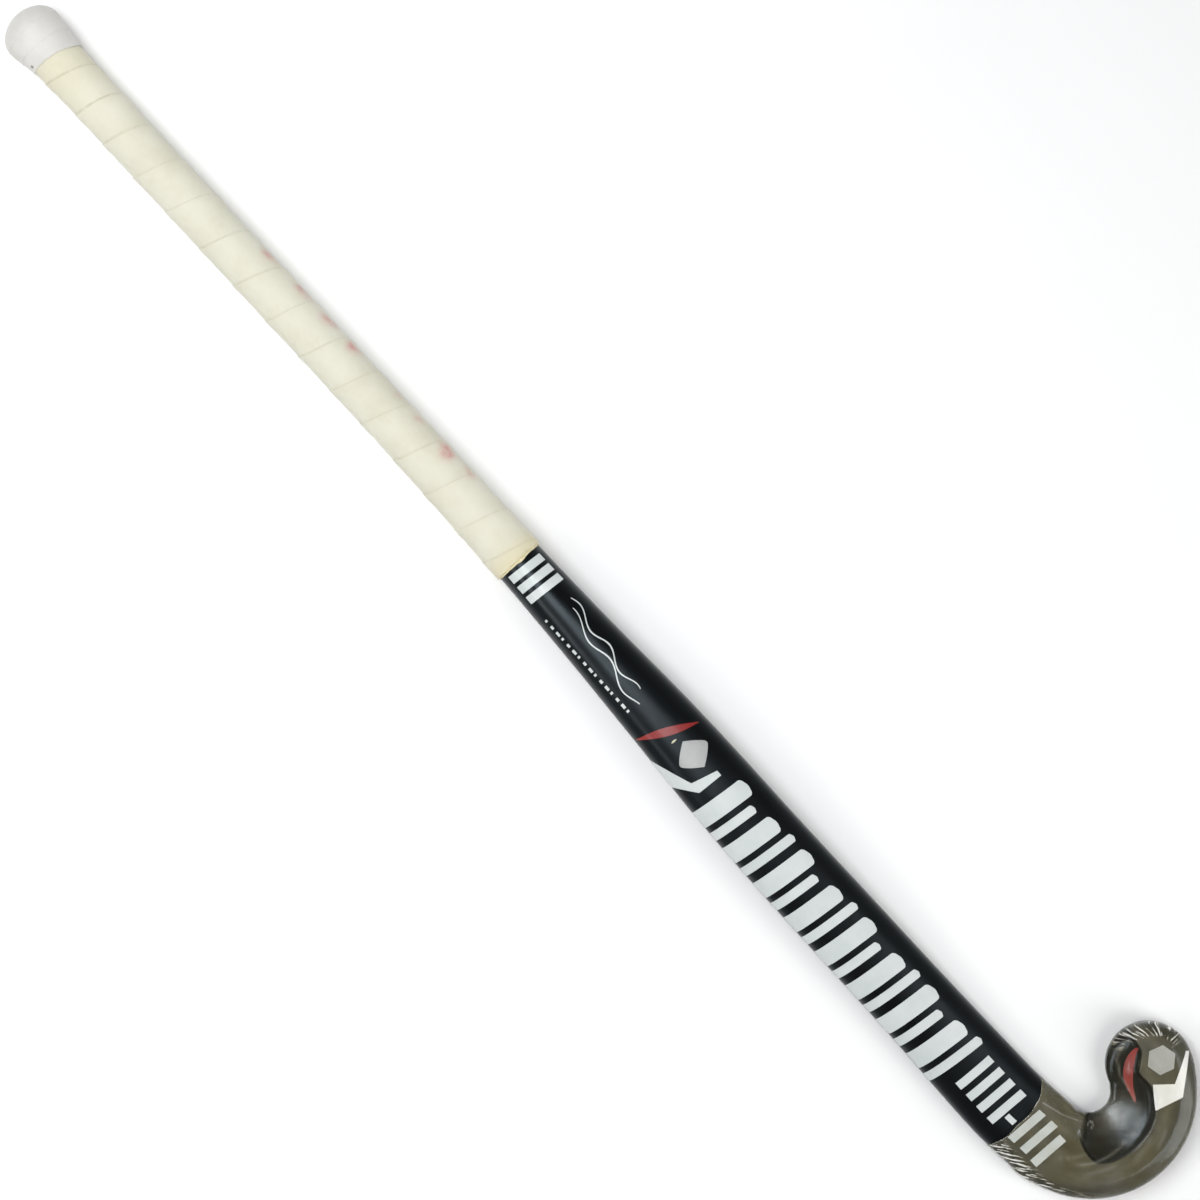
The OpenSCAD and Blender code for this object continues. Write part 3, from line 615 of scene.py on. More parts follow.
# inside of the moulding, so that the open end is a real wall
inner_x = np.linspace(7, 640, 40)
PI, _, _ = rings([0] * len(inner_x), inner_x, -2.6)
base = m_ * n_
faces += quads(len(inner_x), n_, base, flip=True)
faces += [[j, (j + 1) % n_, base + (j + 1) % n_, base + j] for j in range(n_)]
faces += [[(m_ - 1) * n_ + j for j in range(n_)], [base + (len(inner_x) - 1) * n_ + j for j in range(n_)][::-1]]
body = make("laminate_body", np.concatenate([P.reshape(-1, 3), PI.reshape(-1, 3)]), faces, M_LACQ)
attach(body, "root")
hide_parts("body_shell")


# ------------------------------------------------------------------ handle surface under the wraps
def under_r(x):
    x = np.asarray(x, float)
    dome = FLARE_R * np.sqrt(np.maximum(0, 1 - ((DOME - x) / (DOME - 0.5)) ** 2))
    tab = [[DOME, FLARE_R], [19, FLARE_R - 0.1], [24, 14.2], [28.5, 13.4], [33, 13.15], [43, 13], [52, 12.75], [60, 12.6]]
    return np.where(x < DOME, dome, curve(tab, x))


def over(x, a, o):
    """Point o above the handle at x, angle a in degrees from +Z towards +Y."""
    x, a, o = np.broadcast_arrays(np.asarray(x, float), np.asarray(a, float), np.asarray(o, float))
    near = x < 60
    w = np.where(near, under_r(x), (curve(HEEL_EDGE, x) + curve(TOE_EDGE, x)) / 2)
    h = np.where(near, under_r(x), curve(THICK, x) / 2)
    y = np.where(near, 0, (curve(TOE_EDGE, x) - curve(HEEL_EDGE, x)) / 2)
    z = np.where(x < N_HANDLE, AXIS_Z0 + TILT * x, face(x) + curve(THICK, x) / 2)
    s, c = np.sin(np.radians(a)), np.cos(np.radians(a))
    return np.stack([x, y + (w + o) * s, z + (h + o) * c], -1)


# ------------------------------------------------------------------ adhesive backing, showing past the cut end
GRIP_END = 421.6
na = 180
ang = np.arange(na) * 360.0 / na
circ = np.stack([np.cos(np.radians(ang)) * 14, np.sin(np.radians(ang)) * 14, 0 * ang], -1)
rag = waves(circ, 9.0, 5, 3) * 0.45
xs = np.concatenate([np.linspace(9, 60, 26), np.linspace(75, 400, 30), np.linspace(405, GRIP_END - 2, 8)])
OUTS, INNS = [], []
for x in xs:
    OUTS.append(over(np.full(na, x), ang, 0.40))
    INNS.append(over(np.full(na, x), ang, 0.05))
for f, lift in ((0.5, 0.0), (1.0, 0.05)):
    xe = GRIP_END - 2 + f * (3.1 + rag)
    OUTS.append(over(xe, ang, 0.40 + lift + 0.1 * waves(circ, 5, 8)))
    INNS.append(over(xe, ang, 0.05))
O_, I_ = np.array(OUTS), np.array(INNS)
m_ = len(O_)
faces = quads(m_, na) + quads(m_, na, m_ * na, flip=True)
faces += [[j, (j + 1) % na, m_ * na + (j + 1) % na, m_ * na + j] for j in range(na)]
faces += [[(m_ - 1) * na + j, (m_ - 1) * na + (j + 1) % na, (2 * m_ - 1) * na + (j + 1) % na, (2 * m_ - 1) * na + j] for j in range(na)]
glue_edge = make("adhesive_backing", np.concatenate([O_.reshape(-1, 3), I_.reshape(-1, 3)]), faces, M_GLUE, sharp_deg=50)
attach(glue_edge, "root")
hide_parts("grip_backing")

# ------------------------------------------------------------------ grip strip
SEAMS = np.array([-11.0, 15.5, 44, 67.2, 91, 117.2, 144.4, 172.8, 201.8, 228.3, 256.6, 282.8, 308.6, 337.4, 363.2, 390.4, 414.2, 440.0, 467.0])
SEAMS = np.where(SEAMS > 430, SEAMS, seen(SEAMS, 31.5 + 0.03 * SEAMS))
TURNS = np.arange(-1, len(SEAMS) - 1)
SEAM_TAB = np.c_[TURNS * 360.0, SEAMS]


def seam(a):
    """Where the strip's leading edge lies after turning a degrees."""
    a = np.asarray(a, float)
    p = np.stack([a / 40.0, 0 * a, 0 * a], -1)
    return curve(SEAM_TAB, a) + 0.5 * waves(p, 7.0, 11, 2)


STEP = 4.0
LAP = 5.0
stop = 360.0
while seam(stop + STEP) <= GRIP_END - LAP - 1:
    stop += STEP
aa = np.arange(-360.0, stop + 0.1, STEP)
xa = seam(aa)
xe = seam(aa + 360.0) + LAP
w_ = xe - xa
lap_on = np.where(aa >= 0, 1.0, 0.0)
lap_on[(aa > -STEP * 1.5) & (aa < 0)] = 0.5
near = np.array([0.0, 0.12, 0.35, 0.8, 1.4, 2.2, 3.2, 4.2, 5.2, 6.4, 7.8, 9.2])
rest = np.linspace(0, 1, 16)[1:]
rel_out = np.concatenate([np.tile(near, (len(aa), 1)), 9.2 + rest[None, :] * (w_[:, None] - 9.2)], 1)
lo_off, hi_off = 0.45, 1.45
g_edge = mix(hi_off, 1.78, lap_on)[:, None]
lip = np.interp(near, [0, 0.12, 0.35, 0.8, 1.4], [-0.22, -0.12, -0.05, -0.01, 0.0])
h_out = hi_off + (g_edge - hi_off) * (1 - ease(4.0, 9.0, rel_out))
h_out[:, :len(near)] += lip[None, :]
h_out -= (hi_off - 0.78) * ease(0, 1, (rel_out - (w_[:, None] - LAP)) / LAP)
rel_in = np.concatenate([np.tile([w * 1.0 for w in (0.9, 0.6, 0.3, 0.0)], (len(aa), 1)) * (w_[:, None] - 5.8) + 5.8,
                         np.tile([5.0, 3.5, 1.7, 0.0], (len(aa), 1))], 1)
h_in = np.full_like(rel_in, lo_off)
for k, v in ((4, 0.86), (5, 1.07), (6, 1.3), (7, 1.5)):
    h_in[:, k] = mix(lo_off, v, lap_on)
rel = np.concatenate([rel_out, rel_in], 1)
off = np.concatenate([h_out, h_in], 1)
X = xa[:, None] + rel
A = np.tile(aa[:, None], (1, rel.shape[1]))
ragged = 0.45 * waves(np.stack([np.cos(np.radians(A)) * 14, np.sin(np.radians(A)) * 14, 0 * A], -1), 6.0, 21, 3)
k_ = rel.shape[1]
order = np.concatenate([np.linspace(1.6, 0.05, rel_out.shape[1]), np.linspace(0.05, 1.5, rel_in.shape[1])])
X = np.minimum(X, GRIP_END + ragged - order[None, :])
low_lim = np.concatenate([np.linspace(0.0, 1.2, rel_out.shape[1]), np.linspace(1.2, 0.0, rel_in.shape[1])])
X = np.maximum(X, 7 + low_lim[None, :])
PP = over(X, A, off)
# hand-wound unevenness: soft rolls and small diagonal tucks near each lap
outer_m = np.zeros_like(off)
outer_m[:, :rel_out.shape[1]] = 1.0
roll = 0.07 * waves(PP, 34, 31, 2) + 0.05 * waves(PP * np.array([1.6, 1, 1]), 11, 32, 2)
tuck = 0.10 * waves(np.stack([PP[..., 0] * 1.0 + A * 0.05, A * 0.09, 0 * A], -1), 4.0, 33, 2) * np.exp(-((rel - 2.5) / 4.0) ** 2)
fade = ease(30, 45, X) * np.where(rel > w_[:, None] - LAP - 1, 0, 1)
off2 = off + outer_m * fade * (roll + tuck)
cut = ease(GRIP_END - 4, GRIP_END, X)
off2 = off2 + outer_m * cut * (0.18 * waves(PP, 9, 41, 2) - 0.25 * ease(GRIP_END - 0.8, GRIP_END + 0.3, X))
PP = over(X, A, off2)
nr = len(aa)
faces = quads(nr, k_)
faces += [list(range(k_)), [(nr - 1) * k_ + j for j in range(k_)][::-1]]
lapmark = np.exp(-(rel / 0.55) ** 2) * (off > 1.0) * lap_on[:, None]
# the shade of dirt caught just in front of a lap, on the turn below
front_of = xe[:, None] - LAP
lapmark = np.maximum(lapmark, np.exp(-((X - front_of) / 0.5) ** 2) * outer_m) * mix(1.0, 0.55, ease(74, 100, X))
STAINS = [(196.8, 63, 3.2, 0.55), (201, 68, 4.5, 0.4), (223.6, 64, 3.4, 0.65), (229, 71, 5.0, 0.45), (247, 60, 3.8, 0.7),
          (252, 67, 3.6, 0.5), (268.8, 56, 3.2, 0.95), (273, 67, 4.0, 0.4), (307, 62, 3.0, 0.3), (325, 58, 3.2, 0.5),
          (350.2, 50, 4.2, 1.0), (346, 58, 3.4, 0.5), (368, 57, 3.4, 0.35), (364, 64, 3.0, 0.3)]
stain = np.zeros_like(X)
am = ((A + 180) % 360) - 180
for sx, sa, sr, sw in STAINS:
    d2 = ((X - sx) / sr) ** 2 + ((am - sa) * math.radians(1) * 14 / (sr * 1.1)) ** 2
    stain += sw * np.exp(-d2)
aged = ease(GRIP_END - 14, GRIP_END, X) * 0.75 + 0.35 * (1 - ease(30, 110, X)) + 0.1 * ease(330, 420, X)
strip = make("grip_strip_wound", PP.reshape(-1, 3), faces, M_GRIP,
             {"lap": lapmark, "stain": np.clip(stain, 0, 1), "aged": np.clip(aged, 0, 1)}, sharp_deg=70)
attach(strip, "root")
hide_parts("grip_strip")

# ------------------------------------------------------------------ white finishing tape
side = np.array([[14, 17.9], [16.5, 17.85], [19, 17.6], [21.5, 17.1], [24, 16.5], [26.5, 16.05], [28.5, 15.75], [31.3, 15.3]])
tt = np.linspace(0, 90, 40)[1:]
prof_x = np.concatenate([DOME * (1 - np.cos(np.radians(tt))), np.linspace(14.3, 31.3, 60)])
prof_r = np.concatenate([17.9 * np.sin(np.radians(tt)), curve(side, np.linspace(14.3, 31.3, 60))])
nt = 240
th = np.arange(nt) * 360.0 / nt
TX, TH = np.meshgrid(prof_x, th, indexing="ij")
TR = np.tile(prof_r[:, None], (1, nt))
rad = np.radians(TH)
seam_w = lambda x0, lean, seed: x0 + lean * np.sin(rad) + 0.35 * waves(np.stack([np.cos(rad) * 3, np.sin(rad) * 3, 0 * rad], -1), 4, seed)
e1, e2 = seam_w(13.8, 0.3, 51), seam_w(23.7, 0.5, 52)
end_x = seam_w(3.3, 3.0, 53)
frac = np.clip((TX - 21.5) / (31.3 - 21.5), 0, 1)
TXs = TX + frac * end_x
lift = -0.12 * ease(-0.12, 0.12, TX - e1) - 0.12 * ease(-0.12, 0.12, TX - e2)
pt = np.stack([TX, np.sin(rad) * TR, np.cos(rad) * TR], -1)
dome_m = 1 - ease(9, 17, TX)
heel_m = 0.35 + 0.65 * np.clip(-np.sin(rad), 0, 1)
fold = dome_m * heel_m * (np.abs(np.sin(rad * 9 + 1.7 * waves(pt, 12, 61))) ** 0.6 - 0.6) * 0.42 * ease(0.5, 5, TX)
fold += dome_m * 0.10 * waves(pt, 5, 62, 2) + 0.05 * waves(pt * np.array([2.2, 1, 1]), 7, 63, 2)
lifted = TR + lift + fold
TZ0 = AXIS_Z0
c_t, s_t = math.cos(math.atan(TILT)), math.sin(math.atan(TILT))


def on_axis(x, r, a):
    y, z = r * np.sin(a), r * np.cos(a)
    return np.stack([x * c_t - z * s_t, y, TZ0 + x * s_t + z * c_t], -1)


outer = on_axis(TXs, lifted, rad)
inner_r = np.maximum(TR - 0.42, 0.3)
inner = on_axis(np.maximum(TXs - 0.0, 0.42), inner_r, rad)
inner[:, :, 0] = np.where(TX < 14, inner[:, :, 0] + 0.0, inner[:, :, 0])
dome_in = TX < 14
xi = np.where(dome_in, DOME - (DOME - 0.42) * (DOME - TX) / DOME, TXs)
inner = on_axis(xi, inner_r, rad)
m_ = len(prof_x)
tip_o, tip_i = on_axis(np.array([0.0]), np.array([0.0]), np.array([0.0])), on_axis(np.array([0.42]), np.array([0.0]), np.array([0.0]))
verts = np.concatenate([outer.reshape(-1, 3), inner.reshape(-1, 3), tip_o, tip_i])
vi = 2 * m_ * nt
faces = quads(m_, nt) + quads(m_, nt, m_ * nt, flip=True)
faces += [[(m_ - 1) * nt + j, (m_ - 1) * nt + (j + 1) % nt, (2 * m_ - 1) * nt + (j + 1) % nt, (2 * m_ - 1) * nt + j] for j in range(nt)]
faces += [[j, (j + 1) % nt, vi] for j in range(nt)] + [[m_ * nt + (j + 1) % nt, m_ * nt + j, vi + 1] for j in range(nt)]
lapm = np.maximum(np.exp(-((TX - e1 - 0.1) / 0.35) ** 2), np.exp(-((TX - e2 - 0.1) / 0.35) ** 2)) * np.clip(0.4 + 0.6 * waves(pt, 14, 64), 0, 1)
spot = np.clip(2.4 * np.exp(-(((TXs - 29.2) / 1.05) ** 2 + ((TH - 299) * math.radians(1) * 15.5 / 1.3) ** 2)) - 0.6, 0, 1)
# darker along both sides of the tape, between about 3 and 26 mm from the butt
side_dark = np.clip(np.abs(np.sin(rad)) ** 6, 0, 1) * ease(3, 9, TX) * (1 - ease(18, 26, TX))
zero = np.zeros(m_ * nt)
tape = make("finishing_tape", verts, faces, M_TAPE,
            {"lap": np.concatenate([lapm.ravel(), zero, [0, 0]]), "spot": np.concatenate([spot.ravel(), zero, [0, 0]]),
             "side_dark": np.concatenate([side_dark.ravel(), zero, [0, 0]])}, sharp_deg=60)
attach(tape, "root")
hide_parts("butt_tape")


# ------------------------------------------------------------------ printed transfers
def shell_grid(top, low):
    """Closed thin solid between two equal grids [m, n, 3]."""
    m, n = top.shape[:2]
    v = np.concatenate([top.reshape(-1, 3), low.reshape(-1, 3)])
    b = m * n
    f = quads(m, n, close_v=False) + quads(m, n, b, close_v=False, flip=True)
    for i in range(m - 1):
        f.append([i * n, (i + 1) * n, b + (i + 1) * n, b + i * n])
        f.append([i * n + n - 1, (i + 1) * n + n - 1, b + (i + 1) * n + n - 1, b + i * n + n - 1][::-1])
    for j in range(n - 1):
        f.append([j, j + 1, b + j + 1, b + j][::-1])
        f.append([(m - 1) * n + j, (m - 1) * n + j + 1, b + (m - 1) * n + j + 1, b + (m - 1) * n + j])
    return v, f


INK_LO, INK_HI = 0.03, 0.13


def on_shaft(x, q, o):
    r = Ribs(np.zeros(x.size, int), x.ravel(), o)
    p = r.at(q.ravel())
    return np.concatenate([p, r.back(q.ravel())[:, None]], 1).reshape(x.shape + (3,))


def on_head(x, y, o):
    z = head_z(x, y)
    e = 0.05
    gx, gy = (head_z(x + e, y) - head_z(x - e, y)) / (2 * e), (head_z(x, y + e) - head_z(x, y - e)) / (2 * e)
    n = np.stack([-gx, -gy, np.ones_like(gx)], -1)
    n /= np.linalg.norm(n, axis=-1)[..., None]
    return np.stack([x, y, z], -1) + n * o


def grid_between(left, right, rows, cols):
    left, right = np.asarray(left, float), np.asarray(right, float)

    def resample(line):
        if len(line) == rows:
            return line
        t = np.linspace(0, len(line) - 1, rows)
        i = np.clip(t.astype(int), 0, len(line) - 2)
        return mix(line[i], line[i + 1], (t - i)[:, None])

    a, b = resample(left), resample(right)
    t = np.linspace(0, 1, cols)[None, :, None]
    return a[:, None, :] * (1 - t) + b[:, None, :] * t


def transfer(name, node, mat, strips, where="shaft"):
    """strips: list of (left line, right line, rows, cols) in x and share (shaft) or x and y (head)."""
    V, F, base = [], [], 0
    for left, right, rows, cols, *w in strips:
        g = grid_between(left, right, rows, cols)
        put = on_shaft if (w[0] if w else where) == "shaft" else on_head
        top, low = put(g[..., 0], g[..., 1], INK_HI), put(g[..., 0], g[..., 1], INK_LO)
        v, f = shell_grid(top, low)
        V.append(v)
        F += [[i + base for i in q] for q in f]
        base += len(v)
    o = make(name, np.concatenate(V), F, mat, sharp_deg=40)
    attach(o, "root")
    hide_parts(node)
    return o


def bar(x, w, q0, q1, lean, r0=0.0, r1=0.0, where="shaft"):
    """A slanted bar; r0 and r1 round its two ends."""
    n = 40
    t = np.linspace(0, 1, n)
    q = mix(q0, q1, t)
    left = x + lean * (q - q0)
    ww = np.full(n, float(w))
    span = abs(q1 - q0)
    for r, d in ((r0, q - q0), (r1, q1 - q)):
        if r > 0:
            k = np.clip(d / r, 0, 1)
            ww = ww * np.sqrt(np.clip(1 - (1 - k) ** 2, 0.02, 1))
    mid = left + w / 2
    return (np.c_[mid - ww / 2, q], np.c_[mid + ww / 2, q], n, 9, where)


transfer("three_bars", "upper_bars", M_WHITE,
         [bar(424.6, 5.0, -0.72, 0.80, 1.2), bar(432.1, 5.0, -0.72, 0.80, 1.2), bar(439.6, 5.0, -0.72, 0.80, 1.2)])

strips = []
for k in (0, 1):
    x = np.linspace(457 + 5 * k, 521 + 6 * k, 160)
    s = 0.525 - 0.26 * k - 0.0075 * (x - 457) + 0.13 * np.sin(np.radians((x - 457) * (13 if k == 0 else 11)))
    wdt = 0.052 * (0.35 + 0.65 * np.sin(np.linspace(0.12, math.pi - 0.12, 160)) ** 0.5)
    strips.append((np.c_[x, s + wdt / 2], np.c_[x, s - wdt / 2], 160, 4))
transfer("wave_pinstripes", "wave_lines", M_WHITE, strips)

strips = []
for i in range(16):
    x, w = 456.6 + 4.55 * i, 1.4 + 0.8 * ((i * 7) % 3)
    q = -0.71 + 0.002 * (x - 456)
    strips.append(([[x, q - 0.045], [x, q + 0.045]], [[x + w, q - 0.045], [x + w, q + 0.045]], 4, 6))
transfer("dash_line", "fine_dashes", M_WHITE, strips)

t = np.linspace(0, 1, 60)
q = mix(-0.93, 0.76, t)
half = 0.25 + 2.5 * np.sin(np.pi * t)
transfer("red_slash", "red_band", M_RED, [(np.c_[540.8 + 16.2 * t - half, q], np.c_[540.8 + 16.2 * t + half, q], 60, 9)])
t = np.linspace(-1, 1, 49)
half = 9.2 * np.maximum(0.03, 1.03 - np.abs(t)) ** 0.75
transfer("grey_diamond", "grey_lozenge", M_GREY, [(np.c_[568.2 - half, 0.06 + 0.5 * t], np.c_[568.2 + half, 0.06 + 0.5 * t], 49, 17)])
q = np.linspace(-0.985, 0.25, 80)
lft = np.where(q < -0.5, mix(555, 579.5, (q + 0.985) / 0.485), mix(579.5, 584, (q + 0.5) / 0.75))
rgt = np.where(q < -0.5, mix(574, 586.5, (q + 0.985) / 0.485), mix(586.5, 587.5, (q + 0.5) / 0.75))
transfer("white_angle", "white_chevron", M_WHITE, [(np.c_[lft, q], np.c_[rgt, q], 80, 9)])

strips = []
for i in range(8):
    strips.append(bar(592.6 + 26.3 * i, 11.3, -0.985, 0.6 if i % 2 == 0 else 0.52, 2.4, 0, 0.12))
    strips.append(bar(607.8 + 26.3 * i, 5.6, -0.985, 0.34 if i % 2 == 0 else 0.6, 2.4, 0, 0.07))
transfer("bold_bars", "large_bars", M_WHITE, strips)

strips = [bar(x, 5.0, -0.56, 0.46, 1.0) for x in (807.3, 816.2, 825.1, 834)] + [bar(840.8, 6.2, -0.26, -0.12, 0.0)]
strips += [bar(x, 5.0, -0.54, 0.42, 0.8) for x in (850.2, 859.4)]
strips.append(([[868.6, -19.0], [869.2, 3.4]], [[873.8, -19.0], [874.4, 3.4]], 40, 9, "head"))
transfer("short_bars", "small_bars", M_WHITE, strips)

hexa = np.array([[877.4 + 8.6 * math.cos(math.radians(a + 12)), 74.5 + 8.6 * math.sin(math.radians(a + 12))] for a in range(0, 360, 60)])


def poly_fill(name, node, mat, left, right, rows=41, cols=15):
    return transfer(name, node, mat, [(left, right, rows, cols, "head")], "head")


poly_fill("head_hexagon", "head_lozenge", M_GREY, [hexa[4], hexa[3], hexa[2]], [hexa[5], hexa[0], hexa[1]], 61, 15)
poly_fill("head_angle", "head_chevron", M_WHITE2,
          [(884.4, 61.4), (892.6, 70.8), (883.5, 88.4)], [(896.4, 52.6), (901.2, 69.0), (885.0, 89.6)], 61, 15)
cen = np.array([[886.3, 47.6], [876.7, 51.8], [870.1, 56.8], [865.1, 64.2], [863.7, 69.5]])
tq = np.linspace(0, 1, 5)
tf = np.linspace(0, 1, 48)
cx, cy = curve(np.c_[tq, cen[:, 0]], tf), curve(np.c_[tq, cen[:, 1]], tf)
dx, dy = np.gradient(cx), np.gradient(cy)
ln = np.hypot(dx, dy)
hw = 0.15 + 2.55 * np.sin(np.pi * tf)
poly_fill("head_red_streak", "head_red_stripe", M_RED, np.c_[cx - dy / ln * hw, cy + dx / ln * hw], np.c_[cx + dy / ln * hw, cy - dx / ln * hw], 48, 9)

# ------------------------------------------------------------------ clear film over the head
film_pos = [(0, x) for x in np.linspace(841, 865, 40)]
film_pos += [(1, p) for p in np.arange(-90, TOE_ANG - 0.6, 0.9)]
film_pos += [(2, math.sin(math.radians(a))) for a in list(np.arange(0, 88, 1.3)) + [88.4, 89.3, 89.8]]
fkd, fps = np.array([k for k, _ in film_pos]), np.array([p for _, p in film_pos], float)


def film_rings(o):
    P, Q, nt_ = rings(fkd, fps, o)
    return P, Q, nt_


PO, QO, ntop = film_rings(0.34)
PIn, _, _ = film_rings(0.2)
nf = PO.shape[1]
top_side = np.zeros(nf)
top_side[:ntop] = 1
# the cut edge bows across the shaft
first = fkd == 0
edge_q = QO
edge_x = 845.9 + 3.4 * (1 - ((edge_q + 0.25) / 1.0) ** 2) - 4.5 * ease(0.55, 1.0, edge_q) + 0.45 * np.sin(edge_q * 9)
for arr in (PO, PIn):
    f = ((fps - 841) / 24.0)[first][:, None]
    arr[first, :, 0] = edge_x[first] + f * (865 - edge_x[first])
# heights follow the body at the moved places
for arr, o in ((PO, 0.34), (PIn, 0.2)):
    xx = arr[first, :, 0]
    qq = QO[first]
    r = Ribs(np.zeros(xx.size, int), xx.ravel(), o)
    up = np.concatenate([r.at(qq.ravel()), r.back(qq.ravel())[:, None]], 1).reshape(xx.shape + (3,))
    dn = np.concatenate([r.at(qq.ravel()), r.front(qq.ravel())[:, None]], 1).reshape(xx.shape + (3,))
    arr[first] = np.where(top_side[None, :, None] > 0, up, dn)

XY = PO[..., :2]
rr = Ribs(fkd, fps)
KIND = np.broadcast_to(fkd[:, None], QO.shape)
tv = XY - TOE_C
ta = np.degrees(np.arctan2(tv[..., 1], tv[..., 0]))
ta = np.where(ta < -60, ta + 360, ta)
tr = np.hypot(tv[..., 0], tv[..., 1])
# pleats round the toe, raked across the rim
toe_m = ease(86, 98, ta) * (1 - ease(192, 206, ta)) * ease(16.6, 19.2, tr) * (KIND == 2) * top_side[None, :]
toe_cw = np.radians(ta) * 22 - 1.1 * ease(95, 150, ta) * (tr - 20)
# and at the heel, raked back along the flank
width = np.linalg.norm(rr.inn - rr.out, axis=1)[:, None]
dist = (QO + 1) / 2 * width * mix(1, 1.9, ease(872, 905, XY[..., 0]))
heel_m = (1 - ease(6.0, 9.5, dist)) * (1 - ease(885, 918, XY[..., 0])) * ease(845, 850, XY[..., 0])
heel_m = heel_m * (KIND < 2) * (XY[..., 1] < 10) * top_side[None, :]
c35, s35 = math.cos(math.radians(35)), math.sin(math.radians(35))
heel_cw = -XY[..., 0] * s35 + XY[..., 1] * c35
heel_cl = XY[..., 0] * c35 + XY[..., 1] * s35
on_toe = KIND == 2
# the folds die out down the flank towards the face
low = mix(0.12, 1, ease(6, 18, PO[..., 2]))
toe_cw = toe_cw - 0.35 * PO[..., 2]
crumple = np.maximum(toe_m, heel_m) * low
CW = np.where(on_toe, toe_cw * 0.70, heel_cw * 0.95)
CL = np.where(on_toe, tr * 0.11, heel_cl * 0.085)
ridge = np.abs(np.sin(np.where(on_toe, toe_cw * 1.25, heel_cw * 1.5) + 1.3 * waves(PO, 9, 71))) ** 0.6
edge_d = np.abs(PO[..., 0] - edge_x)
edge_m = np.where(first[:, None], np.exp(-(edge_d / 2.2) ** 2), 0) * (0.4 + 0.6 * (QO < -0.6))
gather = edge_m * np.abs(np.sin(QO * 30 + waves(PO, 5, 74))) ** 0.6
soft = 0.05 * waves(PO, 16, 75, 2) * top_side[None, :]
disp = 0.42 * crumple * ridge + 0.25 * gather + np.maximum(soft, -0.06)


def grid_normals(G):
    du = np.gradient(G, axis=0)
    dv = (np.roll(G, -1, 1) - np.roll(G, 1, 1)) / 2
    n = np.cross(du, dv)
    n /= np.maximum(np.linalg.norm(n, axis=-1)[..., None], 1e-9)
    c = G.mean(axis=1, keepdims=True)
    flipm = np.sign(((G - c) * n).sum(-1).mean(axis=1))[:, None, None]
    return n * np.where(flipm == 0, 1, flipm)


NO = grid_normals(PO)
PO2 = PO + NO * disp[..., None]
PI2 = PIn + NO * (0.92 * disp)[..., None]
PO2[..., 2] = np.maximum(PO2[..., 2], 0.05)
m_ = len(fps)
verts = np.concatenate([PO2.reshape(-1, 3), PI2.reshape(-1, 3)])
faces = quads(m_, nf) + quads(m_, nf, m_ * nf, flip=True)
faces += [[j, (j + 1) % nf, m_ * nf + (j + 1) % nf, m_ * nf + j] for j in range(nf)]
faces += [[(m_ - 1) * nf + j for j in range(nf)], [(2 * m_ - 1) * nf + j for j in range(nf)][::-1]]
# painted reflection of the room, laid in as a milky olive tint on the flat of the head, weaker in the scoop
u_s = np.clip((QO - rr.b[:, None]) / (1 - rr.b[:, None]), 0, 1) * (rr.scoop[:, None] > 0)
on_scoop = ease(0.0, 0.05, u_s) * np.clip(rr.scoop[:, None] / 4, 0, 1) * top_side[None, :]
hv = XY - CROOK
hp_, hr = np.degrees(np.arctan2(hv[..., 1], hv[..., 0])), np.hypot(hv[..., 0], hv[..., 1])
polar = np.stack([np.radians(hp_) * 45 * 0.16, hr, 0 * hr], -1)
reflection_tint = mix(0.102, 0.018, on_scoop)
reflection_tint = reflection_tint * np.clip(1 + 0.22 * waves(polar, 7, 76, 3), 0.5, 1.5) * (0.8 + 0.25 * ease(-0.95, -0.3, QO))
reflection_tint = np.where(top_side[None, :] > 0, reflection_tint, 0.03)
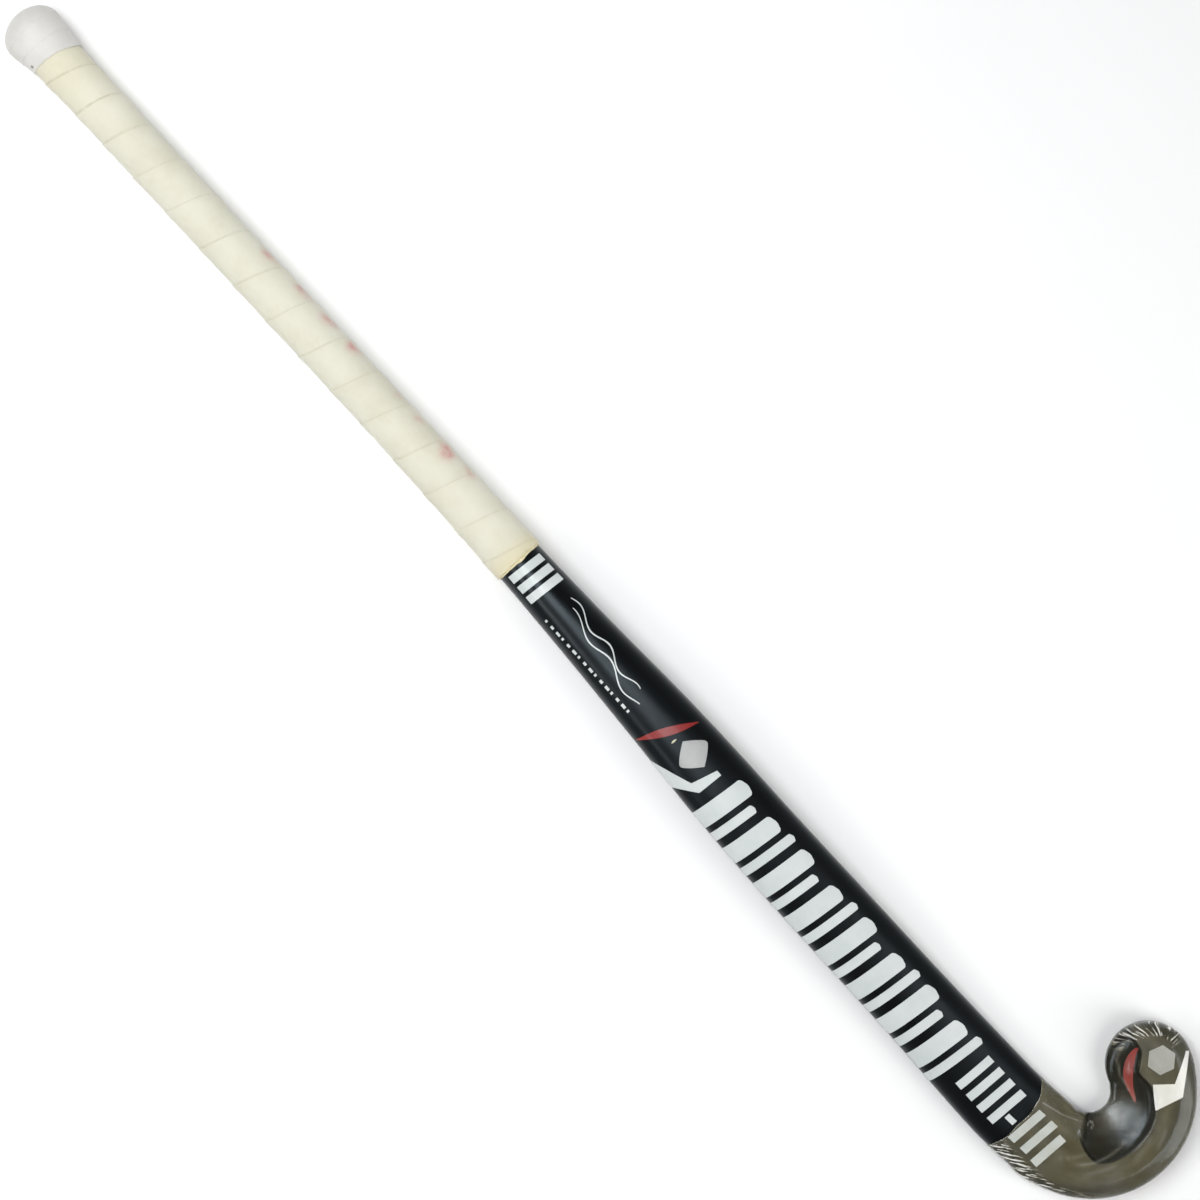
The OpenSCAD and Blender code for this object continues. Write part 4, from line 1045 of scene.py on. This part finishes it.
# painted highlights: light streaks and lines laid on the film, across the flat and along the scoop's lip
streak = np.zeros_like(reflection_tint)
for p0, r0, p1, r1, w, k in ((-58, 41, -6, 32.5, 0.7, 0.55), (-2, 31.2, 8, 33.4, 0.8, 0.8), (-50, 45, -22, 41, 1.3, 0.35),
                             (-12, 43, 14, 40, 1.6, 0.3), (6, 47, 24, 45, 1.2, 0.35), (-75, 42, -48, 33, 0.9, 0.35)):
    f = np.clip((hp_ - p0) / (p1 - p0), 0, 1)
    on = ease(p0 - 2, p0 + 6, hp_) * (1 - ease(p1 - 6, p1 + 2, hp_))
    streak = np.maximum(streak, k * on * np.exp(-((hr - mix(r0, r1, f) - 0.5 * waves(polar, 14, 77)) / w) ** 2))
for (ax, ay), (bx, by), w, k in (((849.4, 8.5), (862.6, 12.3), 0.45, 0.8), ((862.6, 12.3), (872.1, 17.2), 0.4, 0.6),
                                 ((893, 22), (903, 30), 0.35, 0.4),
                                 ((882, 50.5), (888, 45), 0.6, 0.9), ((887, 49), (895, 42), 0.8, 0.6), ((890.5, 47), (896.5, 38.5), 0.5, 0.6),
                                 ((856.3, 66.5), (861, 56.5), 0.7, 0.5), ((861, 56.5), (869.6, 51.4), 0.7, 0.6), ((869.6, 51.4), (879, 49.4), 0.6, 0.7)):
    dx, dy = bx - ax, by - ay
    f = np.clip(((XY[..., 0] - ax) * dx + (XY[..., 1] - ay) * dy) / (dx * dx + dy * dy), 0, 1)
    dd = np.hypot(XY[..., 0] - ax - f * dx, XY[..., 1] - ay - f * dy)
    streak = np.maximum(streak, k * np.exp(-(dd / w) ** 2))
# painted reflection: a broad bright patch on the crook side of the scoop
rub = np.exp(-((hr - 17) / 8.0) ** 2 - ((hp_ - 4) / 34) ** 2) * (KIND == 1) * top_side[None, :]
streak = np.maximum(streak, rub * np.clip(0.80 + 0.3 * waves(polar, 6, 79, 3), 0.2, 1.2))
# painted glint round a small ring in the film
ring = np.hypot(XY[..., 0] - 878.6, XY[..., 1] - 19.9)
streak = np.maximum(streak, 1.1 * np.exp(-((ring - 1.7) / 0.35) ** 2)) * top_side[None, :]
# painted highlight: a whitish line along the film's cut edge
edge = np.where(first[:, None], np.exp(-(edge_d / 0.45) ** 2), 0) * np.clip(0.55 + 0.5 * waves(PO, 6, 78), 0.1, 1)
zero = np.zeros(reflection_tint.size)
two = lambda a, b=None: np.concatenate([a.ravel(), (a if b is None else b).ravel()])
film = make("shrink_film", verts, faces, M_FILM,
            {"reflection_tint": two(reflection_tint), "crumple": two(crumple, 0 * crumple), "cw": two(CW), "cl": two(CL),
             "edge": two(edge, 0 * edge), "streak": two(np.clip(streak, 0, 1), 0 * streak)})
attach(film, "root")
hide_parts("head_film")

# ------------------------------------------------------------------ pieces carried over from the frame
for node, mat in (("handle_core", M_FOAM), ("head_core", M_FOAM), ("butt_cap", M_CAP)):
    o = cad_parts[node]
    o.data.materials.clear()
    o.data.materials.append(mat)

# ------------------------------------------------------------------ floor
fm = Mat("pale_floor")
tone = fm.noise(3.0, 3, 0.5)
fm.set(Base_Color=fm.ramp(tone, [(0.3, (0.93, 0.93, 0.93)), (0.7, (0.955, 0.955, 0.955))]), Roughness=0.8)
me = bpy.data.meshes.new("floor")
me.from_pydata([(-4, -4, -0.0004), (4, -4, -0.0004), (4, 4, -0.0004), (-4, 4, -0.0004)], [], [(0, 1, 2, 3)])
me.materials.append(fm.m)
floor = link(me, "floor")
